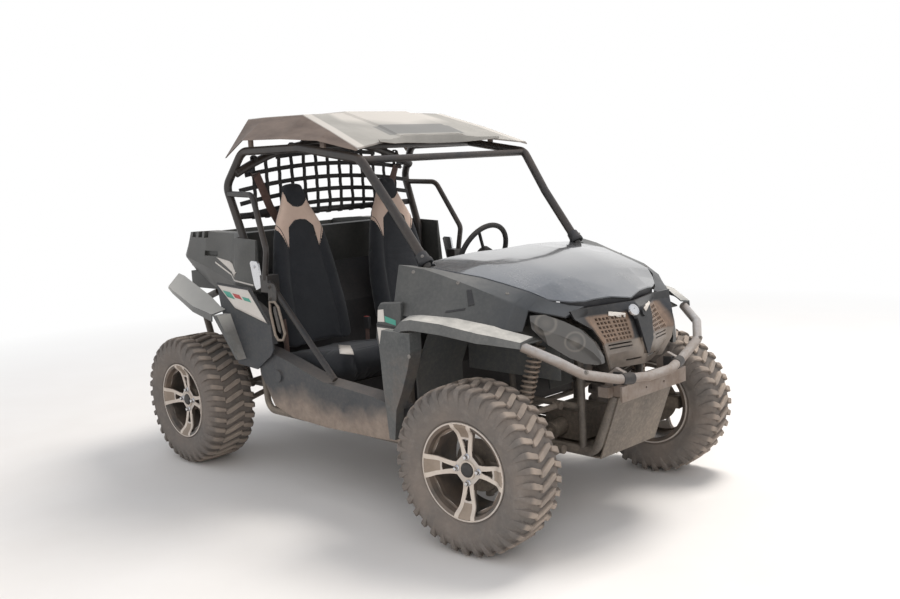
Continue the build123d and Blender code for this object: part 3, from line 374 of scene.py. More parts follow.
# The same columns without the name, for the four tyres and the four rims
TYRE_LOOK = (
    (0.112, 0.106, 0.100), (0.178, 0.150, 0.130), 0.9, 0.0, 0.22, 0.18, 0.10, 0.6, (0.36, 0.29, 0.235),
)
RIM_LOOK = ((0.62, 0.57, 0.52), (0.54, 0.48, 0.43), 0.34, 0.4, 0.1, 0.12, 0.10, 0.1, (0.44, 0.34, 0.26))
CLOTH_LOOKS = (
    # name, colour, second colour, threads, strength of the weave, dust
    ("black_webbing", (0.020, 0.020, 0.022), (0.035, 0.033, 0.032), 1800.0, 0.6, 0.12),
    ("brown_webbing", (0.10, 0.055, 0.045), (0.13, 0.075, 0.06), 1800.0, 0.6, 0.12),
    ("pale_stitch", (0.10, 0.095, 0.09), (0.14, 0.13, 0.12), 1500.0, 0.2, 0.12),
    ("seat_black", (0.012, 0.014, 0.018), (0.021, 0.023, 0.028), 1300.0, 0.35, 0.02),
    ("seat_pale", (0.70, 0.51, 0.41), (0.78, 0.60, 0.49), 1300.0, 0.30, 0.03),
)
PAINTED_LAMP_BOWLS = (
    # x, distance from the middle, height and radius of each reflector bowl, painted on the smoked lens as a
    # highlight ring round a bright centre
    (1.172, 0.398, 0.870, 0.046), (1.262, 0.335, 0.795, 0.040),
)
WORN_BY = {
    # the nodes that wear each material
    "frame_paint": "front_frame cabin_frame rear_frame rear_bumper", "cage_paint": "roll_cage side_bars",
    "dark_plastic": "floor_tub dashboard", "sill_plastic": "lower_side_panels", "roof_plastic": "roof_panel",
    "hood_gloss": "hood_panel", "panel_plastic": "front_side_panels", "flare_plastic": "fender_flares",
    "liner_plastic": "front_inner_fenders", "nose_plastic": "nose_fascia", "lamp_clear": "lamps",
    "silver_tube": "front_bumper", "engine_alloy": "engine_block", "exhaust_steel": "muffler",
    "running_gear": "skid_plate suspension_arms shocks half_shafts steering_rack",
    "dull_iron": "rear_carriers front_knuckle_right front_knuckle_left hub_front_right hub_front_left"
                 " hub_rear_right hub_rear_left",
    "grey_plastic": "cargo_box", "grip_foam": "steering_wheel", "black_webbing": "rear_net",
    "spring_steel": "springs", "seat_black": "seat_backs seat_cushions",
}
LOOK_OF = {node: look for look, wearers in WORN_BY.items() for node in wearers.split()}


def make_lamp_look():
    """Smoked lens with two reflector bowls painted on it in front as painted highlights, red at the rear."""
    tree, shader = new_material("lamp_clear")
    rear = fade(tree, coordinate(tree, "X"), -0.1, 0.1)
    colour = mixed(tree, rear, (0.080, 0.077, 0.073), (0.30, 0.02, 0.02))
    for x, out, z, radius in PAINTED_LAMP_BOWLS:
        place = split(tree, place_in(tree))
        folded = {0: place["X"], 1: free(tree, "ABSOLUTE", place["Y"]), 2: place["Z"]}
        inputs = {0: add_node(tree, "CombineXYZ", folded).outputs[0], 1: (x, out, z)}
        away = add_node(tree, "VectorMath", inputs, operation="DISTANCE").outputs["Value"]
        # Painted highlight: a pale ring at each bowl's rim and a bright centre that fades outwards.
        ring = times(tree, ramp(tree, away, 0.78 * radius, 0.92 * radius),
                     fade(tree, away, 0.95 * radius, 1.10 * radius), 0.35)
        glow = ramp(tree, away, 0.1 * radius, 0.7 * radius, 0.35, 0.0)
        colour = mixed(tree, maths(tree, "ADD", ring, glow), colour, (0.30, 0.27, 0.23))
    surface = mixed(tree, dust_amount(tree, 0.35, 0.0, 0.0), colour, DUST)
    connect(tree, shader, {"Base Color": surface, "Roughness": 0.18, "Coat Weight": 0.35})


def make_looks():
    """All materials, and the nodes dressed in them."""
    for row in PLAIN_LOOKS:
        dusty(*row)
    for row, extras in SPECIAL_LOOKS:
        dusty(*row, **extras)
    for row in CLOTH_LOOKS:
        woven(*row)
    make_lamp_look()
    for place in PLACES:
        dusty("tyre_rubber_" + place, *TYRE_LOOK, grain=110.0, finish=tyre_finish(place))
        dusty("rim_alloy_" + place, *RIM_LOOK, finish=rim_finish(place))
        LOOK_OF["tyre_" + place] = "tyre_rubber_" + place
        LOOK_OF["rim_" + place] = "rim_alloy_" + place
    for node, look in LOOK_OF.items():
        mesh = nodes[node].data
        mesh.materials.clear()
        mesh.materials.append(looks[look])


# Mesh helpers
CAST_RUN = 0.3
FAR_CAST = 10.0


def add_bevel(piece, name, width, angle):
    """Rounding of a piece's sharp edges, in two steps."""
    rounding = piece.modifiers.new(name, "BEVEL")
    rounding.width = width
    rounding.segments = 2
    rounding.limit_method = "ANGLE"
    rounding.angle_limit = math.radians(angle)
    return rounding


def add_piece(name, data, look, body="chassis", sharp=35.0, bevel=0.0, gauge=0.0, replaces=None):
    """Object from a bmesh, smooth between its sharp edges, with its looks and body."""
    mesh = bpy.data.meshes.new(name)
    data.normal_update()
    data.to_mesh(mesh)
    data.free()
    piece = bpy.data.objects.new(name, mesh)
    scene.collection.objects.link(piece)
    for one in look.split():
        mesh.materials.append(looks[one])
    mesh.shade_smooth()
    mesh.set_sharp_from_angle(angle=math.radians(sharp))
    if bevel:
        add_bevel(piece, "rounding", bevel, 40)
    if gauge:
        piece.modifiers.new("gauge", "SOLIDIFY").thickness = gauge
    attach(piece, body)
    if replaces:
        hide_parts(replaces)
    return piece


def bridge(data, rings, closed_path=False):
    """Faces between neighbouring rings of vertices, and at both ends of an open path."""
    count = len(rings[0])
    pairs = list(zip(rings, rings[1:]))
    if closed_path:
        pairs.append((rings[-1], rings[0]))
    for first, second in pairs:
        for step in range(count):
            after = (step + 1) % count
            data.faces.new((first[step], first[after], second[after], second[step]))
    if not closed_path:
        data.faces.new(list(reversed(rings[0])))
        data.faces.new(rings[-1])


def sweep(data, sections):
    """Solid through sections, each a list of points."""
    bridge(data, [[data.verts.new(point) for point in section] for section in sections])


def circle(centre, across, other, radius, sides):
    """Points of a circle in the plane of two directions."""
    turns = [2 * math.pi * side / sides for side in range(sides)]
    return [centre + (across * math.cos(turn) + other * math.sin(turn)) * radius for turn in turns]


def tangents(points, closed=False):
    """Unit direction of a line at each of its points."""
    last = len(points) - 1
    ways = []
    for step, point in enumerate(points):
        before = points[step - 1] if step or closed else point
        after = points[(step + 1) % len(points)] if step < last or closed else point
        ways.append((after - before).normalized())
    return ways


def tube(data, points, radius, sides=10, closed=False):
    """Round tube along a line of points."""
    points = [Vector(point) for point in points]
    ways = tangents(points, closed)
    across = ways[0].orthogonal().normalized()
    rings = []
    for point, way in zip(points, ways):
        across = (across - way * across.dot(way)).normalized()
        ring = circle(point, across, way.cross(across), radius, sides)
        rings.append([data.verts.new(place) for place in ring])
    bridge(data, rings, closed)


def ribbon(data, points, across, width, thick):
    """Flat strap with thin edges along a line of points; across is its width's direction."""
    points = [Vector(point) for point in points]
    sections = []
    for point, way in zip(points, tangents(points)):
        side = Vector(across)
        side = (side - way * side.dot(way)).normalized() * width / 2
        up = way.cross(side).normalized() * thick / 2
        half = [side, side * 0.88 + up, side * 0.2 + up * 0.8, side * -0.2 + up * 0.8, side * -0.88 + up]
        outline = half + [-side, side * -0.88 - up, side * 0.88 - up]
        sections.append([point + corner for corner in outline])
    sweep(data, sections)


def lathe(data, centre, axis, profile, sides=20):
    """Turned solid; the profile is a list of radius and height."""
    centre = Vector(centre)
    axis = Vector(axis).normalized()
    across = axis.orthogonal().normalized()
    other = axis.cross(across)
    sweep(data, [circle(centre + axis * height, across, other, radius, sides) for radius, height in profile])


def bolt(data, centre, axis, radius):
    """Hexagon bolt head on a washer."""
    washer = ((1.5, -0.3), (1.5, 0.2), (1.35, 0.3), (0.9, 0.3))
    head = ((1.0, 0.2), (1.0, 0.95), (0.82, 1.15), (0.2, 1.15))
    for profile, sides in ((washer, 14), (head, 6)):
        lathe(data, centre, axis, [(radius * out, radius * height) for out, height in profile], sides)


def plate(data, points, thick):
    """Flat plate: its outline's points, thickened along the vector given."""
    low = [Vector(point) for point in points]
    sweep(data, [low, [point + Vector(thick) for point in low]])


def sided(side, points):
    """Points given for the left side, on the side asked for."""
    return [Vector((x, side * y, z)) for x, y, z in points]


def upright(side, out, outline):
    """Points on an upright plane at a distance from the middle, from pairs of x and height."""
    return [Vector((x, side * out, z)) for x, z in outline]


def surface_of(piece):
    """Tree for finding points on a piece's surface."""
    data = bmesh.new()
    data.from_mesh(piece.data)
    tree = BVHTree.FromBMesh(data)
    data.free()
    return tree


def touch(tree, start, cast, limit=FAR_CAST):
    """Where a ray meets a surface, with the normal on the ray's side, or nothing."""
    cast = Vector(cast)
    point, normal = tree.ray_cast(Vector(start), cast, limit)[:2]
    if point is None:
        return None
    return point, normal if normal.dot(cast) < 0 else -normal


def laid_patch(data, tree, corners, cast, lift, across, along, reach):
    """Thin sheet laid on a surface: a grid between four corners, cast onto it and lifted a little."""
    cast = Vector(cast).normalized()
    first, second, third, fourth = [Vector(corner) for corner in corners]
    grid = []
    for row in range(along + 1):
        line = []
        for column in range(across + 1):
            step = column / across
            start = first.lerp(second, step).lerp(fourth.lerp(third, step), row / along)
            hit = touch(tree, start - cast * CAST_RUN, cast, CAST_RUN + reach)
            line.append(data.verts.new(hit[0] + hit[1] * lift) if hit else None)
        grid.append(line)
    for upper, lower in zip(grid, grid[1:]):
        for step in range(across):
            corner = (upper[step], upper[step + 1], lower[step + 1], lower[step])
            if all(corner):
                data.faces.new(corner)


# Moulded nodes with soft shading
SOFT_NODES = (
    # node, slot, angle of a crease in degrees, width of the worn edge
    ("hood_panel", "hood_gloss", 34, 0.0015), ("front_side_panels", "grey_plastic", 34, 0.0015),
    ("fender_flares", "grey_plastic", 34, 0.0020), ("nose_fascia", "dark_plastic", 30, 0.0),
    ("cargo_box", "grey_plastic", 30, 0.0015), ("front_inner_fenders", "dark_plastic", 30, 0.0015),
    ("lower_side_panels", "dark_plastic", 30, 0.0020), ("dashboard", "dark_plastic", 30, 0.0015),
)
WELD = 0.0001
FLAT_ANGLE = 0.5


def soften_nodes():
    """Stand-ins for moulded nodes: their own forms, welded, with smooth shading and worn edges."""
    for name, slot, angle, bevel in SOFT_NODES:
        data = bmesh.new()
        data.from_mesh(nodes[name].data)
        bmesh.ops.remove_doubles(data, verts=data.verts, dist=WELD)
        flat = math.radians(FLAT_ANGLE)
        bmesh.ops.dissolve_limit(data, angle_limit=flat, verts=data.verts, edges=data.edges)
        piece = add_piece(name + "_skin", data, LOOK_OF[name], sharp=angle, replaces=name)
        custom = piece.data.attributes.get("custom_normal")
        if custom:
            piece.data.attributes.remove(custom)
        if bevel:
            add_bevel(piece, "worn_edges", bevel, angle).harden_normals = True


# Seats
SEAT_Y = 0.311
BACK_ROWS = (
    # height, x of the front, half width, depth
    (0.634, -0.334, 0.196, 0.094), (0.660, -0.336, 0.208, 0.104), (0.800, -0.369, 0.216, 0.110),
    (0.960, -0.406, 0.202, 0.104), (1.110, -0.438, 0.174, 0.092), (1.230, -0.463, 0.144, 0.084),
    (1.300, -0.478, 0.100, 0.078), (1.350, -0.488, 0.071, 0.072), (1.415, -0.496, 0.058, 0.062),
    (1.438, -0.503, 0.046, 0.046),
)
CUSHION_ROWS = (
    # x, underside's height, height of the side rolls, half width
    (-0.434, 0.520, 0.612, 0.196), (-0.410, 0.504, 0.624, 0.212), (-0.250, 0.503, 0.642, 0.220),
    (-0.100, 0.503, 0.664, 0.220), (0.020, 0.508, 0.684, 0.218), (0.054, 0.545, 0.672, 0.212),
    (0.066, 0.575, 0.640, 0.204),
)
PALE_OUTLINE = [
    # distance from the seat's middle, height, of the pale insert's right half from its top outer corner
    (0.150, 1.450), (0.150, 1.240), (0.092, 1.115), (0.074, 1.222), (0.036, 1.253), (0.0, 1.258),
    (0.0, 1.320), (0.030, 1.327), (0.056, 1.352), (0.060, 1.392), (0.051, 1.450),
]
BACK_SEAMS = (
    # lines of distance from the middle and height, of the right half
    ((0.0, 1.320), (0.030, 1.327), (0.056, 1.352), (0.060, 1.392), (0.051, 1.438)),
    ((0.0, 1.258), (0.036, 1.253), (0.074, 1.222), (0.092, 1.115), (0.132, 1.235)),
    ((0.092, 1.115), (0.118, 0.960), (0.128, 0.800), (0.126, 0.650)),
)
CUSHION_SEAMS = (
    # lines of distance from the middle and x, of the right half
    ((0.135, -0.420), (0.140, -0.200), (0.142, 0.020), (0.138, 0.060)),
    ((0.0, 0.020), (0.142, 0.020)),
)
LABEL_CORNERS = (
    # distance out from the seat's middle and height of the blank label's corners as seen from the camera
    (0.237, 0.707), (0.163, 0.690), (0.149, 0.645), (0.229, 0.664),
)
LABEL_X = 0.072
BACK_HOLLOW = 0.026
CUSHION_HOLLOW = 0.022
BACK_SWELL = 0.013
CUSHION_SWELL = 0.010
VOXEL = 0.0055
CLOTH_FRAMES = 20
CLOTH_PRESSURE = 4.0
CLOTH_STIFFNESS = 8.0
SEAM_REACH = 0.0042
PIPING_RADIUS = 0.0017
PIPING_STEP = 0.008
INSERT_FOOT = 1.09


def ring_of(half_width, depth, hollow):
    """Section of a padded form: across and inwards from its front, hollow in the middle."""
    half = [
        (0.0, hollow), (0.42, hollow), (0.62, 0.55 * hollow), (0.84, 0.0), (0.97, 0.16 * depth),
        (1.0, 0.5 * depth), (0.94, 0.9 * depth), (0.5, depth), (0.0, depth),
    ]
    right = [(part * half_width, inward) for part, inward in half]
    left = [(-across, inward) for across, inward in reversed(right[1:-1])]
    return right + left


def back_form():
    """Seat back before it swells, with side rolls that fade out towards the head."""
    data = bmesh.new()
    sections = []
    for height, front_x, half_width, depth in BACK_ROWS:
        hollow = BACK_HOLLOW * min(1.0, max(0.0, (1.26 - height) / 0.25))
        section = ring_of(half_width, depth, hollow)
        sections.append([(front_x - inward, across, height) for across, inward in section])
    sweep(data, sections)
    return data


def cushion_form():
    """Seat cushion before it swells."""
    data = bmesh.new()
    sections = []
    for x, low_z, high_z, half_width in CUSHION_ROWS:
        section = ring_of(half_width, high_z - low_z, CUSHION_HOLLOW)
        sections.append([(x, across, high_z - inward) for across, inward in section])
    sweep(data, sections)
    return data


def mirrored(lines):
    """Each line and its mirror image."""
    return [list(line) for line in lines] + [[(-out, along) for out, along in line] for line in lines]


def distance_to_lines(place, lines):
    """Shortest distance in a plane from a point to several lines."""
    nearest = 1.0
    for line in lines:
        for (x0, y0), (x1, y1) in zip(line, line[1:]):
            run = (x1 - x0, y1 - y0)
            length = run[0] ** 2 + run[1] ** 2
            share = max(0.0, min(1.0, ((place[0] - x0) * run[0] + (place[1] - y0) * run[1]) / length))
            away = math.hypot(place[0] - x0 - share * run[0], place[1] - y0 - share * run[1])
            nearest = min(nearest, away)
    return nearest


def inside(place, outline):
    """Whether a point lies inside a closed outline."""
    odd = False
    for (x0, y0), (x1, y1) in zip(outline, outline[1:] + outline[:1]):
        if (y0 > place[1]) != (y1 > place[1]) and place[0] < (x1 - x0) * (place[1] - y0) / (y1 - y0) + x0:
            odd = not odd
    return odd


def evaluated(piece):
    """A piece with its modifiers applied, as Blender gives it now."""
    return piece.evaluated_get(bpy.context.evaluated_depsgraph_get())


def blow_up(piece, sewn, cap):
    """Cloth simulation of a pad under pressure, held at its sewn points; no point moves more than the cap."""
    mesh = piece.data
    rest = [vertex.co.copy() for vertex in mesh.vertices]
    group = piece.vertex_groups.new(name="sewn")
    group.add(sewn, 1.0, "REPLACE")
    cloth = piece.modifiers.new("swell", "CLOTH")
    settings = cloth.settings
    settings.quality = 4
    settings.use_pressure = True
    settings.uniform_pressure_force = CLOTH_PRESSURE
    settings.vertex_group_mass = "sewn"
    settings.effector_weights.gravity = 0.0
    settings.tension_stiffness = CLOTH_STIFFNESS
    settings.compression_stiffness = CLOTH_STIFFNESS
    cloth.collision_settings.use_collision = False
    cloth.point_cache.frame_start = 1
    cloth.point_cache.frame_end = CLOTH_FRAMES
    for step in range(1, CLOTH_FRAMES + 1):
        scene.frame_set(step)
    places = [vertex.co.copy() for vertex in evaluated(piece).to_mesh().vertices]
    piece.modifiers.clear()
    piece.vertex_groups.clear()
    scene.frame_set(1)
    for vertex, old, new in zip(mesh.vertices, rest, places):
        move = new - old
        if move.length > cap:
            move = move.normalized() * cap
        vertex.co = old + move


def swollen(name, form, flat, facing, seams, cap):
    """Pad that is remeshed, blown up as cloth between its sewn seams, capped and smoothed."""
    mesh = bpy.data.meshes.new(name)
    form.normal_update()
    bmesh.ops.recalc_face_normals(form, faces=form.faces)
    form.to_mesh(mesh)
    form.free()
    piece = bpy.data.objects.new(name, mesh)
    scene.collection.objects.link(piece)
    piece.modifiers.new("rounding", "SUBSURF").levels = 3
    remesh = piece.modifiers.new("remesh", "REMESH")
    remesh.mode = "VOXEL"
    remesh.voxel_size = VOXEL
    made = bpy.data.meshes.new_from_object(evaluated(piece))
    piece.modifiers.clear()
    piece.data = made
    made.update()
    sewn = [
        vertex.index for vertex in made.vertices
        if vertex.normal.dot(facing) > 0.15 and distance_to_lines(flat(vertex.co), seams) < SEAM_REACH
    ]
    blow_up(piece, sewn, cap)
    smooth = piece.modifiers.new("smooth", "SMOOTH")
    smooth.factor = 0.5
    smooth.iterations = 2
    made = bpy.data.meshes.new_from_object(evaluated(piece))
    bpy.data.objects.remove(piece)
    return made


def cut_insert(mesh):
    """The pale insert's outline cut into the seat back, and its faces given the second material."""
    halves = [PALE_OUTLINE, [(-across, height) for across, height in PALE_OUTLINE]]
    data = bmesh.new()
    data.from_mesh(mesh)
    for half in halves:
        for (y0, z0), (y1, z1) in zip(half, half[1:]):
            if y0 == 0.0 and y1 == 0.0:
                continue
            near = [
                face for face in data.faces
                if face.calc_center_median().z > INSERT_FOOT and face.normal.x > -0.2
            ]
            edges = [edge for face in near for edge in face.edges]
            verts = [vertex for face in near for vertex in face.verts]
            across = (0, z1 - z0, y0 - y1)
            geometry = list({*near, *edges, *verts})
            bmesh.ops.bisect_plane(data, geom=geometry, plane_co=(0, y0, z0), plane_no=across, dist=0.0004)
    for face in data.faces:
        middle = face.calc_center_median()
        pale = face.normal.x > -0.35 and any(inside((middle.y, middle.z), half) for half in halves)
        face.material_index = 1 if pale else 0
    data.to_mesh(mesh)
    data.free()


def seam_tubes(data, tree, lines, to_space, cast):
    """Sewn piping laid on a pad's surface along lines in its plane."""
    for line in lines:
        places = []
        for (x0, y0), (x1, y1) in zip(line, line[1:]):
            steps = max(2, int(math.hypot(x1 - x0, y1 - y0) / PIPING_STEP))
            shares = [step / steps for step in range(steps)]
            places += [(x0 + (x1 - x0) * share, y0 + (y1 - y0) * share) for share in shares]
        places.append(line[-1])
        hits = [touch(tree, to_space(place), cast) for place in places]
        points = [hit[0] for hit in hits if hit]
        if len(points) > 2:
            tube(data, points, PIPING_RADIUS, 6)


def make_seats():
    """Two seats: swollen backs and cushions, pale inserts, piping and blank labels."""
    back_seams = mirrored(BACK_SEAMS)
    cushion_seams = mirrored(CUSHION_SEAMS)
    back = swollen("seat_back_form", back_form(), lambda co: (co.y, co.z), Vector((1, 0, 0.2)), back_seams,
                   BACK_SWELL)
    cushion = swollen("seat_cushion_form", cushion_form(), lambda co: (co.y, co.x), UP, cushion_seams,
                      CUSHION_SWELL)
    cut_insert(back)
    for side, name in SIDES:
        shift = Vector((0, side * SEAT_Y, 0))
        trees = []
        for part, form, look in (
            ("seat_back", back, "seat_black seat_pale"), ("seat_cushion", cushion, "seat_black"),
        ):
            data = bmesh.new()
            data.from_mesh(form)
            bmesh.ops.translate(data, verts=data.verts, vec=shift)
            piece = add_piece(part + "_" + name, data, look, sharp=80.0, replaces=part + "s")
            trees.append(surface_of(piece))
        data = bmesh.new()
        seam_tubes(data, trees[0], back_seams, lambda p: shift + Vector((0.2, p[0], p[1])), (-1, 0, 0))
        seam_tubes(data, trees[1], cushion_seams, lambda p: shift + Vector((p[1], p[0], 0.9)), (0, 0, -1))
        add_piece("seat_piping_" + name, data, "seat_black")
        data = bmesh.new()
        corners = [shift + Vector((LABEL_X, side * across, height)) for across, height in LABEL_CORNERS]
        view = corners[0] - Vector((CAMERA_PLACE[0], side * -CAMERA_PLACE[1], CAMERA_PLACE[2]))
        laid_patch(data, trees[1], corners, view, 0.0014, 8, 8, 0.5)
        add_piece("seat_label_" + name, data, "blank_decal", gauge=0.0012)


# Net behind the seats, woven from straps that sag between the hoop and the lower bar
NET_PITCH = 0.078
NET_COLUMNS = 13
NET_X = -0.614
NET_SAG = 0.15
NET_STRAP = (0.022, 0.0021)
STITCH = 0.0068
NET_ROWS = (
    # height and half width of each cross strap
    (1.334, 0.560), (1.397, 0.560), (1.462, 0.558), (1.530, 0.520), (1.590, 0.330),
)
HOOP = ((0.578, 1.499), (0.500, 1.552), (0.330, 1.604), (0.160, 1.632), (0.0, 1.640))
HOOP_LOOP = (
    # x and height over the hoop's middle line, of an upright strap's way round the hoop
    (-0.588, -0.014), (-0.582, 0.0), (-0.588, 0.018), (-0.602, 0.0235), (-0.618, 0.016), (-0.616, -0.012),
)
BAR_LOOP = (
    # x and height of an upright strap's way round the lower bar
    (-0.619, 1.302), (-0.617, 1.288), (-0.626, 1.273), (-0.640, 1.2705), (-0.654, 1.280), (-0.656, 1.296),
)
BAR_TOP = 1.312


def hoop_height(across):
    """Height of the hoop's middle line at a distance from the middle."""
    away = abs(across)
    for (y0, z0), (y1, z1) in zip(HOOP, HOOP[1:]):
        if y1 <= away <= y0:
            return z0 + (z1 - z0) * (away - y0) / (y1 - y0)
    return HOOP[0][1]


def make_net():
    """Upright and cross straps, the uprights looped round both bars, with a stitch across each crossing."""
    data = bmesh.new()
    columns = [(step - (NET_COLUMNS - 1) / 2) * NET_PITCH for step in range(NET_COLUMNS)]
    for step, across in enumerate(columns):
        top = hoop_height(across)
        weave = 0.0022 if step % 2 else -0.0022
        points = [(x, across, top + height) for x, height in HOOP_LOOP]
        start = top - 0.012
        for part in range(1, 16):
            height = start + (BAR_TOP - start) * part / 16
            points.append((NET_X + weave * math.cos(part * math.pi / 2), across, height))
        points += [(x, across, height) for x, height in BAR_LOOP]
        ribbon(data, points, (0, 1, 0), *NET_STRAP)
    for row, (height, half) in enumerate(NET_ROWS):
        points = []
        for part in range(49):
            across = half * (2 * part / 48 - 1)
            sway = 0.0024 * math.cos((across / NET_PITCH + row) * math.pi)
            points.append((NET_X + sway, across, height - NET_SAG * across * across))
        ribbon(data, points, (0, 0, 1), *NET_STRAP)
    add_piece("net_webbing", data, "black_webbing", replaces="rear_net")
    data = bmesh.new()
    for height, half in NET_ROWS:
        for across in columns:
            if abs(across) > half:
                continue
            middle = height - NET_SAG * across * across
            ends = [(NET_X + 0.0036, across - out, middle + out) for out in (STITCH, -STITCH)]
            tube(data, ends, 0.0006, 4)
    add_piece("net_stitches", data, "pale_stitch")


# Coil springs
SHOCKS = (
    # lower end, upper end, coil radius, wire radius, turns
    ((1.033, -0.405, 0.470), (1.085, -0.340, 0.790), 0.0270, 0.0052, 12.5),
    ((-0.985, -0.424, 0.290), (-0.930, -0.366, 0.838), 0.0290, 0.0060, 20.5),
)
SPRING_START = 0.048
SPRING_LOSS = 0.084
STEPS_A_TURN = 14


def make_springs():
    """Helical coils with closed ends round the four shock absorbers."""
    data = bmesh.new()
    for low_end, high_end, radius, wire, turns in SHOCKS:
        for side in (1, -1):
            low, high = sided(side, (low_end, high_end))
            way = (high - low).normalized()
            start = low + way * SPRING_START
            length = (high - low).length - SPRING_LOSS
            across = way.orthogonal().normalized()
            other = way.cross(across)
            steps = int(turns * STEPS_A_TURN)
            points = []
            for step in range(steps + 1):
                share = step / steps
                eased = min(1.0, max(0.0, (share - 0.04) / 0.92))
                turn = 2 * math.pi * turns * share
                ray = (across * math.cos(turn) + other * math.sin(turn)) * radius
                points.append(start + way * (wire + (length - 2 * wire) * eased) + ray)
            tube(data, points, wire, 7)
    add_piece("coil_springs", data, "spring_steel", sharp=60.0, replaces="springs")


# Wheels: nuts, caps, collars, lugged tyres and the bright parts of the rims
FACE_OUT = {"front": 0.059, "rear": 0.079}
TYRE_HALF = {"front": 0.118, "rear": 0.1375}
TYRE_RADIUS = 0.335
CARCASS_RADIUS = 0.320
BEAD_RADIUS = 0.179
LIP_INSET = 0.022
LUGS = 36
LUG_DEPTH = 0.021
CARCASS_STEPS = 120
NUT_CIRCLE = 0.052
WHEEL_TRIMS = (
    # name, look and slot of a turned trim, how far it starts behind the face, distance from the axle,
    # and its profiles with their number of sides
    ("wheel_nuts_", "bright_trim", "hub_steel", 0.004, NUT_CIRCLE, (
        (16, ((0.0125, 0.0), (0.0125, 0.005), (0.0105, 0.0075), (0.0098, 0.0080))),
        (6, ((0.0092, 0.0070), (0.0092, 0.0170), (0.0070, 0.0205), (0.0025, 0.0212))),
    )),
    ("wheel_ring_", "rim_marks", "rim_alloy", 0.010, 0.0, (
        (32, ((0.0372, 0.0), (0.0372, 0.0115), (0.0355, 0.0142), (0.0310, 0.0142), (0.0292, 0.0125),
              (0.0292, 0.0))),
    )),
    ("wheel_cap_", "dark_plastic", "dark_plastic", 0.010, 0.0, (
        (32, ((0.0290, 0.0), (0.0290, 0.012), (0.0275, 0.017), (0.0235, 0.0205), (0.0120, 0.0225),
              (0.0020, 0.0228))),
    )),
)
SPOKE_ROWS = (
    # radius, rise from the spokes' face, and reach of the near and the far edge from the spoke pair's middle
    (0.060, 0.0014, 0.0040, 0.0245), (0.076, 0.0032, 0.0058, 0.0252), (0.092, 0.0050, 0.0088, 0.0270),
    (0.110, 0.0072, 0.0130, 0.0302), (0.126, 0.0092, 0.0178, 0.0336), (0.140, 0.0116, 0.0205, 0.0366),
    (0.150, 0.0160, 0.0222, 0.0388), (0.159, 0.0225, 0.0240, 0.0412), (0.168, 0.0310, 0.0262, 0.0440),
    (0.177, 0.0375, 0.0282, 0.0466),
)
WEB_ROWS = (
    # radius and rise of the web between the two spokes of a pair
    (0.124, 0.0075), (0.140, 0.0102), (0.150, 0.0142), (0.159, 0.0205), (0.168, 0.0290), (0.177, 0.0360),
    (LIP_RADIUS - 0.005, 0.0395),
)
RISE_TO_LIP = 0.040
PROUD = 0.0006


def around_wheel(place):
    """Function from axial distance, radius and angle to a point at a wheel, and its outward direction."""
    joint = SPINS["wheel_" + place]
    centre = Vector(joint["pos_m"])
    out = Vector(joint["axis"]).normalized()
    ahead = UP.cross(out).normalized()

    def spot(along, radius, turn):
        return centre + out * along + (UP * math.cos(turn) + ahead * math.sin(turn)) * radius
    return spot, out


def make_wheel_trims():
    """Four nuts, a centre cap and the collar round it on each wheel."""
    for place in PLACES:
        spot, out = around_wheel(place)
        face = FACE_OUT[place.split("_")[0]]
        for name, look, slot, inset, radius, profiles in WHEEL_TRIMS:
            data = bmesh.new()
            for quarter in range(4 if radius else 1):
                for sides, profile in profiles:
                    lathe(data, spot(face - inset, radius, quarter * math.pi / 2), out, profile, sides)
            add_piece(name + place, data, look, "wheel_" + place)


def tyre_profile(half):
    """Half of the closed section of a carcass, from the outer bead over the wall to the crown."""
    wall = CARCASS_RADIUS - LIP_RADIUS
    low = [
        # distance in from the tyre's side, height over the rim's lip
        (0.023, 0.007), (0.019, 0.012), (0.0195, 0.015), (0.011, 0.30 * wall), (0.0065, 0.45 * wall),
        (0.0055, 0.60 * wall), (0.010, 0.74 * wall), (0.018, wall - 0.018), (0.030, wall - 0.007),
        (0.050, wall - 0.001),
    ]
    bead = [(half - LIP_INSET - 0.008, BEAD_RADIUS), (half - LIP_INSET - 0.007, LIP_RADIUS + 0.003)]
    return bead + [(half - inward, LIP_RADIUS + height) for inward, height in low]


def lug(data, spot, base_turn, path):
    """One block along a path of axial place, top radius, lean outwards, shift round the tyre and width."""
    sections = []
    for along, radius, lean, shift, width in path:
        low_along = along - LUG_DEPTH * lean
        low_radius = radius - LUG_DEPTH * math.sqrt(1 - lean * lean)
        turn = base_turn + shift / TYRE_RADIUS
        half_base = 0.5 * width / TYRE_RADIUS
        half_top = 0.40 * width / TYRE_RADIUS
        sections.append([
            spot(low_along, low_radius, turn - half_base), spot(along, radius, turn - half_top),
            spot(along, radius, turn + half_top), spot(low_along, low_radius, turn + half_base),
        ])
    sweep(data, sections)


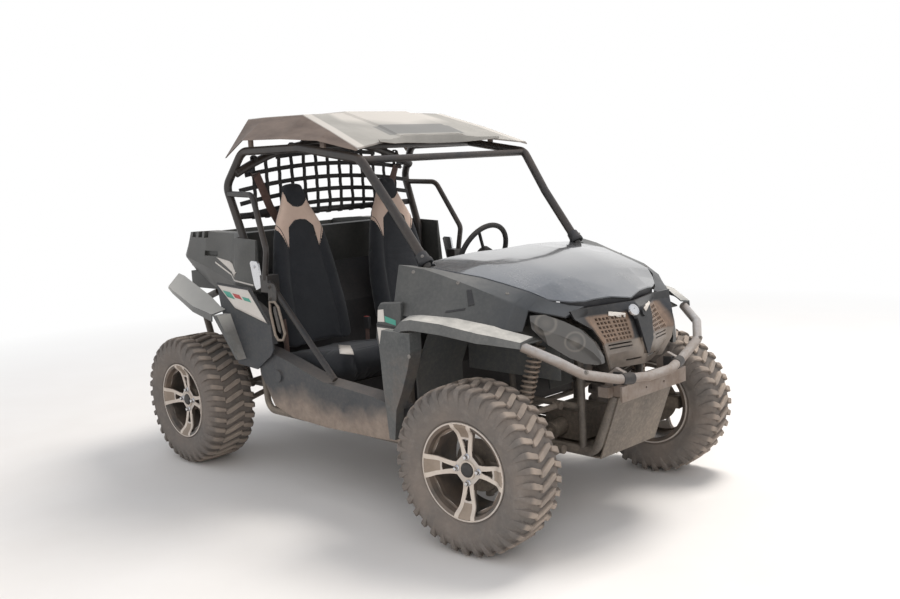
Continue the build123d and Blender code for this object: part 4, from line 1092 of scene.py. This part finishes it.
def make_tyres():
    """Carcass turned from its section, with curved shoulder lugs and staggered middle lugs."""
    for place in PLACES:
        spot = around_wheel(place)[0]
        half = TYRE_HALF[place.split("_")[0]]
        outer = tyre_profile(half)
        section = outer + [(-along, radius) for along, radius in reversed(outer)]
        section += [(-along + 0.014, radius - 0.012) for along, radius in outer[2::3]]
        section += [(along - 0.014, radius - 0.012) for along, radius in reversed(outer[2::3])]
        data = bmesh.new()
        turns = [2 * math.pi * step / CARCASS_STEPS for step in range(CARCASS_STEPS)]
        rings = [[data.verts.new(spot(along, radius, turn)) for turn in turns] for along, radius in section]
        bridge(data, rings, closed_path=True)
        pitch = 2 * math.pi / LUGS
        shoulder = (
            # axial place, top radius, lean, shift round the tyre, width
            (0.40 * half, 0.3345, 0.0, 0.018, 0.024), (0.62 * half, 0.3345, 0.0, 0.009, 0.028),
            (half - 0.030, 0.3305, 0.25, 0.002, 0.031), (half - 0.0135, 0.3195, 0.62, -0.001, 0.032),
            (half - 0.0076, 0.3030, 0.88, 0.000, 0.030), (half - 0.0055, 0.2850, 0.97, 0.004, 0.026),
            (half - 0.0038, 0.2660, 0.99, 0.010, 0.020), (half - 0.0078, 0.2530, 0.99, 0.015, 0.012),
        )
        middle = (
            (-0.08 * half, 0.3348, 0.0, -0.016, 0.024), (0.08 * half, 0.3348, 0.0, -0.010, 0.030),
            (0.24 * half, 0.3348, 0.0, -0.002, 0.030), (0.38 * half, 0.3348, 0.0, 0.003, 0.022),
        )
        for step in range(LUGS):
            for side in (1, -1):
                turn = (step + (0.0 if side > 0 else 0.5)) * pitch
                for path, stagger in ((shoulder, 0.0), (middle, 0.5)):
                    run = [(side * along, radius, side * lean, side * shift, width)
                           for along, radius, lean, shift, width in path]
                    lug(data, spot, turn + stagger * pitch, run)
        bmesh.ops.recalc_face_normals(data, faces=data.faces)
        add_piece("lugged_tyre_" + place, data, "tyre_rubber_" + place, "wheel_" + place,
                  sharp=40.0, bevel=0.0022, replaces="tyre_" + place)


def slab(data, spot, thick, stations):
    """Slab over a wheel's face, through stations of height along the axle, radius and two angles."""
    sweep(data, [
        [spot(along - thick, radius, low), spot(along, radius, low), spot(along, radius, high),
         spot(along - thick, radius, high)]
        for along, radius, low, high in stations
    ])


def make_rim_trims():
    """Spoke faces of even width that rise to the lip, sandy webs between them, and pale marks on the lip."""
    for place in PLACES:
        spot = around_wheel(place)[0]
        end = place.split("_")[0]
        face = FACE_OUT[end] - 0.003
        lip_out = TYRE_HALF[end] - LIP_INSET
        steepness = (lip_out - face) / RISE_TO_LIP
        spoke_rows = SPOKE_ROWS + ((LIP_RADIUS - 0.004, lip_out - face + PROUD, 0.0300, 0.0495),)
        faces, webs, marks = bmesh.new(), bmesh.new(), bmesh.new()
        for quarter in range(4):
            base = math.pi / 2 * quarter
            for edge in (-1, 1):
                stations = []
                for radius, rise, *reaches in spoke_rows:
                    turns = [base + edge * math.asin(reach / radius) for reach in reaches]
                    stations.append((min(face + rise * steepness, lip_out + PROUD), radius, *turns))
                slab(faces, spot, 0.006, stations)
            stations = []
            for radius, rise in WEB_ROWS:
                reach = math.asin((0.0185 + 0.21 * (radius - 0.124)) / radius)
                stations.append((face + rise * steepness, radius, base - reach, base + reach))
            slab(webs, spot, 0.004, stations)
            for step in range(-2, 3):
                turns = (base + step * 0.125 - 0.045, base + step * 0.125 + 0.045)
                slab(marks, spot, 0.0022, [
                    (lip_out + 0.0012, radius, *turns) for radius in (LIP_RADIUS - 0.006, LIP_RADIUS - 0.0015)
                ])
        for label, data, look in (
            ("spoke_tips_", faces, "rim_marks"), ("rim_webs_", webs, "rim_sand"),
            ("lip_marks_", marks, "rim_marks"),
        ):
            bmesh.ops.recalc_face_normals(data, faces=data.faces)
            add_piece(label + place, data, look, "wheel_" + place)


# Stripes, screws and brackets on the near and the far side
TONES = {"green": "green_stripe", "red": "red_stripe", "pale": "blank_decal", "dark": "dark_plastic"}
MARK_NAMES = {"green": "green_marks_", "red": "red_marks_", "pale": "blank_plates_", "dark": "panel_vents_"}
QUARTER_PLATE = ((-0.716, 0.962), (-0.442, 0.950), (-0.294, 0.790), (-0.566, 0.850))
PLATE_MARKS = (
    # tone, where it starts and ends as shares along the plate and down it, lift, columns, rows
    ("pale", 0.015, 0.985, 0.03, 0.97, 0.0008, 24, 8), ("green", 0.06, 0.30, 0.24, 0.50, 0.0016, 12, 3),
    ("red", 0.36, 0.58, 0.26, 0.42, 0.0016, 12, 3), ("green", 0.64, 0.86, 0.30, 0.42, 0.0016, 12, 3),
)
PANEL_MARKS = (
    # node, tone, lift, columns, rows, reach, x and height of the corners
    ("cargo_box", "pale", 0.0010, 16, 4, 0.25,
     ((-0.862, 1.082), (-0.728, 1.066), (-0.600, 1.020), (-0.640, 0.992))),
    ("cargo_box", "pale", 0.0010, 16, 4, 0.25,
     ((-0.868, 1.060), (-0.640, 0.984), (-0.640, 0.976), (-0.868, 1.052))),
    ("cargo_box", "pale", 0.0010, 16, 4, 0.25,
     ((-0.640, 0.984), (-0.330, 0.958), (-0.330, 0.950), (-0.640, 0.976))),
    ("front_side_panels", "pale", 0.0008, 14, 14, 0.4,
     ((0.507, 0.936), (0.595, 0.949), (0.620, 0.890), (0.490, 0.767))),
    ("front_side_panels", "green", 0.0013, 14, 14, 0.4,
     ((0.548, 0.916), (0.584, 0.921), (0.592, 0.905), (0.556, 0.894))),
    ("front_side_panels", "dark", 0.0013, 14, 14, 0.4,
     ((0.905, 1.004), (0.925, 1.006), (0.958, 0.950), (0.934, 0.944))),
    ("front_side_panels", "dark", 0.0013, 14, 14, 0.4,
     ((0.842, 0.925), (0.925, 0.938), (0.923, 0.930), (0.840, 0.917))),
)
SCREWS = (
    # node, start of the ray, x and height of each screw, profile of its head
    ("front_side_panels", 0.9,
     ((0.653, 1.070), (0.859, 1.030), (1.046, 0.988), (0.560, 0.900), (0.700, 0.800)),
     ((0.0078, 0.0), (0.0078, 0.0018), (0.0062, 0.0036), (0.0028, 0.0040), (0.0024, 0.0022))),
    ("fender_flares", 0.95,
     ((0.72, 0.748), (0.86, 0.800), (1.02, 0.830), (1.18, 0.790), (-1.30, 0.780), (-1.12, 0.815),
      (-0.93, 0.800), (-0.78, 0.720)),
     ((0.0085, 0.0), (0.0085, 0.0018), (0.0066, 0.0038), (0.0028, 0.0042), (0.0024, 0.0022))),
)
CORNER_OUTLINE = (
    (0.640, 0.955), (0.520, 0.946), (0.502, 0.925), (0.480, 0.800), (0.496, 0.748), (0.520, 0.735),
    (0.640, 0.745),
)
CORNER_MARKS = (
    # tone, x and height of the corners
    ("pale", ((0.494, 0.842), (0.612, 0.842), (0.612, 0.772), (0.504, 0.760))),
    ("green", ((0.545, 0.893), (0.612, 0.880), (0.612, 0.858), (0.548, 0.868))),
    ("pale", ((0.505, 0.915), (0.540, 0.920), (0.543, 0.868), (0.500, 0.866))),
    ("dark", ((0.490, 0.858), (0.612, 0.852), (0.612, 0.846), (0.490, 0.850))),
)
LATCH_OUTLINE = (
    (-0.432, 1.076), (-0.420, 1.086), (-0.375, 1.084), (-0.367, 1.074), (-0.350, 0.972), (-0.358, 0.958),
    (-0.392, 0.946), (-0.408, 0.970),
)
BRACKET_OUTLINE = (
    (-0.290, 0.985), (-0.238, 0.985), (-0.225, 0.960), (-0.225, 0.905), (-0.240, 0.895), (-0.290, 0.895),
)
SLOT_OUTLINE = (
    (-0.262, 0.900), (-0.222, 0.903), (-0.196, 0.880), (-0.158, 0.760), (-0.176, 0.728), (-0.214, 0.724),
    (-0.236, 0.746), (-0.262, 0.850),
)
SLOT_FILL = (
    (-0.238, 0.880), (-0.222, 0.882), (-0.190, 0.768), (-0.200, 0.756), (-0.214, 0.768), (-0.240, 0.858),
)


def on_plate(along, down):
    """Point on the quarter plate at a share of its length and of its height."""
    upper = Vector(QUARTER_PLATE[0]).lerp(Vector(QUARTER_PLATE[1]), along)
    lower = Vector(QUARTER_PLATE[3]).lerp(Vector(QUARTER_PLATE[2]), along)
    return upper.lerp(lower, down)


def make_laid_marks(side, name, trees):
    """Blank plates, stripes and vent marks laid on the panels of one side."""
    cast = (0, -side, 0)
    marks = {tone: bmesh.new() for tone in TONES}
    for tone, start, end, above, below, lift, columns, rows in PLATE_MARKS:
        shares = ((start, above), (end, above), (end, below), (start, below))
        corners = upright(side, 0.70, [on_plate(*share) for share in shares])
        laid_patch(marks[tone], trees["lower_side_panels"], corners, cast, lift, columns, rows, 0.06)
    for node, tone, lift, columns, rows, reach, corners in PANEL_MARKS:
        laid_patch(marks[tone], trees[node], upright(side, 0.80, corners), cast, lift, columns, rows, reach)
    for tone, label in MARK_NAMES.items():
        add_piece(label + name, marks[tone], TONES[tone], gauge=0.0008)


def make_screws(side, name, trees):
    """Screw heads on the panels and flares of one side."""
    data = bmesh.new()
    for node, start, places, profile in SCREWS:
        for place in upright(side, start, places):
            hit = touch(trees[node], place, (0, -side, 0))
            if hit:
                lathe(data, hit[0] - hit[1] * 0.001, hit[1], profile, 16)
    add_piece("panel_screws_" + name, data, "bolt_steel")


def make_side_plates(side, name, trees):
    """Panel corner with its marks, cargo latch, slot frame and strap bracket of one side."""
    out = Vector((0, side, 0))
    data = bmesh.new()
    plate(data, upright(side, 0.640, CORNER_OUTLINE), out * 0.026)
    add_piece("panel_corners_" + name, data, "panel_plastic", bevel=0.006)
    marks = {tone: bmesh.new() for tone in ("pale", "green", "dark")}
    for tone, corners in CORNER_MARKS:
        plate(marks[tone], upright(side, 0.6664, corners), out * 0.0006)
    for tone, data in marks.items():
        add_piece("corner_marks_" + tone + "_" + name, data, TONES[tone])

    hit = touch(trees["cargo_box"], (-0.390, side * 0.9, 1.020), -out)
    latch_out = abs(hit[0].y) - 0.002 if hit else 0.640
    data = bmesh.new()
    plate(data, upright(side, latch_out, LATCH_OUTLINE), out * 0.012)
    bolt(data, (-0.396, side * (latch_out + 0.012), 1.058), out, 0.006)
    add_piece("cargo_latch_" + name, data, "bright_trim", bevel=0.0025)

    data = bmesh.new()
    tube(data, upright(side, 0.671, SLOT_OUTLINE), 0.0065, 8, closed=True)
    add_piece("slot_frames_" + name, data, "dusty_bracket", sharp=60.0)
    data = bmesh.new()
    plate(data, upright(side, 0.6535, BRACKET_OUTLINE), out * 0.0045)
    for height in (0.968, 0.912):
        bolt(data, (-0.276, side * 0.6595, height), out, 0.006)
    plate(data, upright(side, 0.667, SLOT_FILL), out * 0.003)
    add_piece("side_bar_brackets_" + name, data, "frame_paint", bevel=0.0015)


def make_side_details():
    """All that sits on the panels of both sides."""
    carriers = ("front_side_panels", "cargo_box", "lower_side_panels", "fender_flares")
    trees = {node: surface_of(nodes[node]) for node in carriers}
    for side, name in SIDES:
        make_laid_marks(side, name, trees)
        make_screws(side, name, trees)
        make_side_plates(side, name, trees)


# Seat belts and the buckles between the seats
SHOULDER_LINE = (
    (-0.594, 0.498, 1.500), (-0.596, 0.463, 1.489), (-0.598, 0.439, 1.433), (-0.600, 0.395, 1.325),
    (-0.602, 0.348, 1.246), (-0.602, 0.330, 1.150), (-0.600, 0.330, 0.980),
)
LAP_LINE = ((-0.330, 0.545, 0.560), (-0.332, 0.546, 0.640), (-0.336, 0.545, 0.720), (-0.352, 0.540, 0.790))
STALK_LINE = ((-0.300, 0.070, 0.540), (-0.292, 0.072, 0.620), (-0.284, 0.074, 0.690))
ANCHOR_PLATE = (
    (-0.606, 0.478, 1.500), (-0.606, 0.532, 1.500), (-0.606, 0.532, 1.540), (-0.606, 0.478, 1.540),
)
BUCKLE = ((-0.018, -0.009, -0.010), (0.018, -0.009, -0.010), (0.020, -0.009, 0.052), (-0.020, -0.009, 0.052))
BUTTON = ((-0.013, -0.007, 0.050), (0.013, -0.007, 0.050), (0.013, 0.007, 0.050), (-0.013, 0.007, 0.050))


def make_belts():
    """Shoulder straps down from the cage beside each seat, lap belts and buckles."""
    straps, hard, buttons = bmesh.new(), bmesh.new(), bmesh.new()
    for side in (-1, 1):
        ribbon(straps, sided(side, SHOULDER_LINE), (0, 1, 0.4 * side), 0.046, 0.0022)
        plate(hard, sided(side, ANCHOR_PLATE), (0.010, 0, 0))
        ribbon(straps, sided(side, LAP_LINE), (1, 0, 0), 0.044, 0.0022)
        stalk = sided(side, STALK_LINE)
        ribbon(straps, stalk, (1, 0, 0), 0.030, 0.004)
        plate(hard, [stalk[-1] + Vector(corner) for corner in BUCKLE], (0, 0.018, 0))
        plate(buttons, [stalk[-1] + Vector(corner) for corner in BUTTON], (0, 0, 0.004))
    add_piece("seat_belts", straps, "brown_webbing")
    add_piece("belt_buckles", hard, "dark_plastic", bevel=0.003)
    add_piece("buckle_buttons", buttons, "red_stripe", bevel=0.001)


# Steering wheel pad, dashboard dials, keys and pedals
WHEEL_CENTRE = Vector((0.190, 0.310, 1.035))
COLUMN_TILT = math.radians(24)
COLUMN_WAY = Vector((math.cos(COLUMN_TILT), 0, -math.sin(COLUMN_TILT)))
PAD_PROFILE = ((0.036, 0.0), (0.042, 0.004), (0.042, 0.014), (0.036, 0.024), (0.020, 0.028), (0.004, 0.029))
DIALS = (
    # distance to the left, height, radius
    (0.310, 1.000, 0.040), (0.0, 0.985, 0.030), (0.085, 0.985, 0.018), (-0.085, 0.985, 0.018),
)
# Parts of a dial's radius, and heights
BEZEL_PROFILE = ((1.0, 0.0), (1.0, 0.012), (0.93, 0.015), (0.84, 0.014), (0.82, 0.008))
DIAL_PROFILE = ((0.80, 0.0), (0.80, 0.0065), (0.02, 0.0070))
KEY = ((-0.006, -0.012, -0.017), (-0.006, 0.012, -0.017), (-0.009, 0.012, 0.017), (-0.009, -0.012, 0.017))
PEDALS = ((0.230, 0.560), (0.340, 0.580))
PEDAL_ARM = ((0, 0, 0), (-0.06, 0, 0.01), (-0.11, 0, -0.03))
PEDAL_FACE = (
    (-0.112, -0.032, -0.062), (-0.112, 0.032, -0.062), (-0.134, 0.032, 0.004), (-0.134, -0.032, 0.004),
)


def make_controls():
    """Centre pad with bolts on the steering wheel, dials and keys on the dashboard, and pedals."""
    pad = bmesh.new()
    lathe(pad, WHEEL_CENTRE + COLUMN_WAY * 0.012, -COLUMN_WAY, PAD_PROFILE, 28)
    add_piece("steering_pad", pad, "dark_plastic", "steering_wheel")
    heads = bmesh.new()
    level = Vector((0, 1, 0))
    down = COLUMN_WAY.cross(level).normalized()
    for place in circle(WHEEL_CENTRE - COLUMN_WAY * 0.010, down, -level, 0.030, 3):
        bolt(heads, place, -COLUMN_WAY, 0.0042)
    add_piece("steering_bolts", heads, "bolt_steel", "steering_wheel")

    dash_tree = surface_of(nodes["dashboard"])
    dials, bezels, keys = bmesh.new(), bmesh.new(), bmesh.new()
    for across, height, size in DIALS:
        hit = touch(dash_tree, (-0.2, across, height), (1, 0, 0))
        if hit:
            spot, normal = hit
            for data, start, profile in ((bezels, 0.004, BEZEL_PROFILE), (dials, 0.0, DIAL_PROFILE)):
                turned = [(part * size, rise) for part, rise in profile]
                lathe(data, spot - normal * start, normal, turned, 28)
    for step in range(5):
        hit = touch(dash_tree, (-0.2, -0.38 + 0.05 * step, 0.975), (1, 0, 0))
        if hit:
            plate(keys, [hit[0] + Vector(corner) for corner in KEY], (0.010, 0, 0))
    add_piece("dash_dials", dials, "blank_decal")
    add_piece("dash_bezels", bezels, "bright_trim")
    add_piece("dash_keys", keys, "frame_paint", bevel=0.001)

    tub_tree = surface_of(nodes["floor_tub"])
    data = bmesh.new()
    for across, height in PEDALS:
        hit = touch(tub_tree, (0.20, across, height), (1, 0, 0))
        if hit:
            tube(data, [hit[0] + Vector(step) for step in PEDAL_ARM], 0.007, 10)
            plate(data, [hit[0] + Vector(corner) for corner in PEDAL_FACE], (-0.006, 0, -0.002))
    add_piece("foot_pedals", data, "dull_iron", bevel=0.002)


# Collars where the cage meets the hood
CAGE_CORNER = (0.640, 0.500, 1.088)
CAGE_TOP = (0.296, 0.535, 1.535)
BOOT_PROFILE = (
    (0.0300, 0.0), (0.0330, 0.004), (0.0320, 0.018), (0.0275, 0.026), (0.0260, 0.050), (0.0245, 0.054),
    (0.0215, 0.055),
)
# Where a boot's bolt sits beside the pillar's middle line, and its direction
BOOT_BOLT = (0.018, 0.018, 0.008)
BOOT_FACING = (0.6, 0.7, 0.4)


def make_collars():
    """Moulded boot with a bolt round each front pillar where it leaves the side panel."""
    boots, heads = bmesh.new(), bmesh.new()
    for side in (-1, 1):
        corner, top = sided(side, (CAGE_CORNER, CAGE_TOP))
        way = (top - corner).normalized()
        lathe(boots, corner + way * 0.002, way, BOOT_PROFILE, 20)
        shift, facing = sided(side, (BOOT_BOLT, BOOT_FACING))
        bolt(heads, corner + way * 0.038 + shift, facing, 0.0045)
    add_piece("pillar_boots", boots, "dark_plastic", sharp=50.0)
    add_piece("pillar_bolts", heads, "bolt_steel")


# Edges of the roof and the hood
LIP_LINE = (
    # x, distance across, and depth of the roof's front lip
    (0.262, -0.390, 0.014), (0.2160, -0.262, 0.024), (0.1895, -0.170, 0.038), (0.1895, 0.0, 0.044),
    (0.1895, 0.170, 0.044), (0.2160, 0.262, 0.024), (0.262, 0.390, 0.014),
)
SEAL_STEP = 0.020
SEAL_HALF_STEPS = 22
SEAL_DROP = 0.009
SEAL_DEPTH = 0.045
SEAL_SEARCH = (1.36, 0.0025, 120)


def make_roof_lip():
    """Turned-down front edge of the roof panel."""
    roof_tree = surface_of(nodes["roof_panel"])
    data = bmesh.new()
    sections = []
    for x, across, depth in LIP_LINE:
        hit = touch(roof_tree, (x - 0.006, across, 1.9), (0, 0, -1))
        top = (hit[0].z if hit else 1.620) - 0.0015
        sections.append([
            (x - 0.006, across, top), (x + 0.0005, across, top - 0.003), (x + 0.005, across, top - depth),
            (x - 0.001, across, top - depth),
        ])
    sweep(data, sections)
    bmesh.ops.recalc_face_normals(data, faces=data.faces)
    add_piece("roof_front_lip", data, "roof_plastic", bevel=0.0015)


def make_hood_seal():
    """Dark rubber strip that closes the gap between the hood's front edge and the nose."""
    hood_tree = surface_of(nodes["hood_panel"])
    data = bmesh.new()
    sections = []
    front, back_step, tries = SEAL_SEARCH
    for step in range(-SEAL_HALF_STEPS, SEAL_HALF_STEPS + 1):
        across = step * SEAL_STEP
        for back in range(tries):
            x = front - back * back_step
            hit = touch(hood_tree, (x, across, 1.5), (0, 0, -1))
            if hit:
                top = hit[0].z - SEAL_DROP
                low = top - SEAL_DEPTH
                sections.append([
                    (x - 0.012, across, top), (x - 0.008, across, top), (x - 0.010, across, low),
                    (x - 0.014, across, low),
                ])
                break
    sweep(data, sections)
    bmesh.ops.recalc_face_normals(data, faces=data.faces)
    add_piece("hood_seal", data, "dark_plastic")


# Bumper clamps, bolts and blank plates on the nose
CLAMP_TUBE = ((1.3935, 0.150, 0.6345), (1.3800, 0.205, 0.6390))
CLAMP_PLATE = ((1.330, 0.158, 0.660), (1.372, 0.158, 0.664), (1.376, 0.158, 0.618), (1.330, 0.158, 0.600))
NOSE_PLATES = (
    ((1.380, -0.279, 0.913), (1.380, -0.164, 0.890), (1.380, -0.167, 0.872), (1.380, -0.280, 0.896)),
    ((1.380, -0.049, 0.894), (1.380, -0.010, 0.918), (1.380, 0.000, 0.907), (1.380, -0.033, 0.878)),
)
DISC_AIM = (1.380, -0.110, 0.896)
DISC_FACING = (0.86, -0.10, 0.50)
DISC_PROFILE = (
    (0.024, 0.0), (0.024, 0.010), (0.0225, 0.0125), (0.0195, 0.0125), (0.0185, 0.0105), (0.001, 0.0108),
)


def make_front_details():
    """Clamps and bolts on the bumper, a blank disc and two blank plates on the nose."""
    clamps, heads = bmesh.new(), bmesh.new()
    bumper_tree = surface_of(nodes["front_bumper"])
    for side in (-1, 1):
        tube(clamps, sided(side, CLAMP_TUBE), 0.0235, 20)
        plate(clamps, sided(side, CLAMP_PLATE), (0, side * 0.036, 0))
        for height in (0.722, 0.700):
            hit = touch(bumper_tree, (1.6, side * 0.40, height), (-1, 0, 0))
            if hit:
                bolt(heads, *hit, 0.0065)
    add_piece("bumper_clamps", clamps, "dark_plastic", bevel=0.003)
    if heads.verts:
        add_piece("bumper_bolts", heads, "bolt_steel")
    else:
        heads.free()
    nose_tree = surface_of(nodes["nose_fascia"])
    eye = Vector(CAMERA_PLACE)
    plates = bmesh.new()
    for corners in NOSE_PLATES:
        laid_patch(plates, nose_tree, corners, Vector(corners[0]) - eye, 0.002, 12, 6, 0.3)
    hit = touch(nose_tree, eye, Vector(DISC_AIM) - eye)
    if hit:
        disc = bmesh.new()
        facing = Vector(DISC_FACING).normalized()
        lathe(disc, hit[0] - facing * 0.008, facing, DISC_PROFILE, 32)
        add_piece("nose_disc", disc, "bright_trim")
    add_piece("nose_plates", plates, "blank_decal", gauge=0.0014)


# Floor, backdrop and studio light
FLOOR_HALF = 9.0
FLOOR_STEPS = 24
FLOOR_FADE = (2.6, 6.5)
SKY_STRENGTH = 0.78
LAMPS = (
    # name, place, point it is aimed at, size, power, colour
    ("key", (1.2, 2.6, 6.5), (0.0, 0.0, 0.6), 2.4, 420.0, (1.0, 0.97, 0.93)),
    ("fill", (5.0, -4.5, 3.0), (0.2, 0.0, 0.6), 4.0, 90.0, (1.0, 0.96, 0.92)),
)


def seen_directly(tree):
    """1 on rays from the camera and from mirroring surfaces, with the light path's other outputs."""
    paths = add_node(tree, "LightPath").outputs
    return maths(tree, "MAXIMUM", paths["Is Camera Ray"], paths["Is Glossy Ray"]), paths


def make_floor():
    """Pale floor that keeps the shadow and fades to white further out."""
    data = bmesh.new()
    bmesh.ops.create_grid(data, x_segments=FLOOR_STEPS, y_segments=FLOOR_STEPS, size=FLOOR_HALF)
    mesh = bpy.data.meshes.new("floor")
    data.to_mesh(mesh)
    data.free()
    floor = bpy.data.objects.new("floor", mesh)
    scene.collection.objects.link(floor)
    tree, shader = new_material("pale_floor")
    tone = ramp(tree, noise(tree, 1.2, 5.0), 0.3, 0.7)
    surface = mixed(tree, tone, (0.76, 0.725, 0.69), (0.80, 0.77, 0.74))
    connect(tree, shader, {"Base Color": surface, "Roughness": 0.9})
    away = add_node(tree, "VectorMath", {0: place_in(tree)}, operation="LENGTH").outputs["Value"]
    share = times(tree, seen_directly(tree)[0], ramp(tree, away, *FLOOR_FADE))
    glow = add_node(tree, "Emission", {"Color": (1.0, 1.0, 1.0, 1.0), "Strength": 1.0})
    mix = add_node(tree, "MixShader", {"Fac": share, 1: shader.outputs["BSDF"], 2: glow.outputs[0]})
    end = next(node for node in tree.nodes if node.type == "OUTPUT_MATERIAL")
    connect(tree, end, {"Surface": mix.outputs[0]})
    mesh.materials.append(looks["pale_floor"])


def make_world():
    """Soft even light, and a white backdrop that turns blue high up where it is seen or mirrored."""
    world = bpy.data.worlds.new("studio")
    scene.world = world
    world.use_nodes = True
    tree = world.node_tree
    tree.nodes.clear()
    sky = add_node(tree, "Background", {"Color": (0.90, 0.93, 0.98, 1.0), "Strength": SKY_STRENGTH})
    height = split(tree, add_node(tree, "TexCoord").outputs["Generated"])["Z"]
    colour = mixed(tree, ramp(tree, height, 0.42, 1.0), (1.0, 1.0, 1.0), (0.38, 0.49, 0.66))
    backdrop = add_node(tree, "Background", {"Color": colour, "Strength": 1.0})
    seen, paths = seen_directly(tree)
    seen = maths(tree, "MAXIMUM", seen, paths["Is Transmission Ray"])
    switch = add_node(tree, "MixShader", {"Fac": seen, 1: sky.outputs[0], 2: backdrop.outputs[0]})
    add_node(tree, "OutputWorld", {0: switch.outputs[0]})


def make_lights():
    """Soft square lamps that aren't mirrored in the object."""
    for name, place, aim, size, energy, colour in LAMPS:
        lamp = bpy.data.lights.new(name, "AREA")
        lamp.size = size
        lamp.energy = energy
        lamp.color = colour
        thing = bpy.data.objects.new(name, lamp)
        thing.location = place
        thing.rotation_mode = "QUATERNION"
        thing.rotation_quaternion = (Vector(aim) - Vector(place)).to_track_quat("-Z", "Y")
        thing.visible_glossy = False
        scene.collection.objects.link(thing)


# Camera, fitted to the photograph
LENS = 39.531
YAW = math.radians(135.4805)
PITCH = math.radians(-7.9147)
ROLL = math.radians(-3.0870)


def make_camera():
    """Camera at the photograph's place and angle."""
    lens = bpy.data.cameras.new("camera")
    lens.sensor_width = 36.0
    lens.lens = LENS
    camera = bpy.data.objects.new("camera", lens)
    scene.collection.objects.link(camera)
    ahead = Vector((math.cos(PITCH) * math.cos(YAW), math.cos(PITCH) * math.sin(YAW), math.sin(PITCH)))
    level_right = Vector((math.sin(YAW), -math.cos(YAW), 0.0))
    level_up = level_right.cross(ahead)
    right = level_right * math.cos(ROLL) + level_up * math.sin(ROLL)
    top = level_up * math.cos(ROLL) - level_right * math.sin(ROLL)
    turn = Matrix((right, top, -ahead)).transposed()
    camera.matrix_world = Matrix.Translation(Vector(CAMERA_PLACE)) @ turn.to_4x4()
    scene.camera = camera
    scene.view_settings.view_transform = "Standard"


make_looks()
make_seats()
soften_nodes()
make_net()
make_springs()
make_wheel_trims()
make_tyres()
make_rim_trims()
make_side_details()
make_belts()
make_controls()
make_front_details()
make_collars()
make_roof_lip()
make_hood_seal()
make_floor()
make_world()
make_lights()
make_camera()
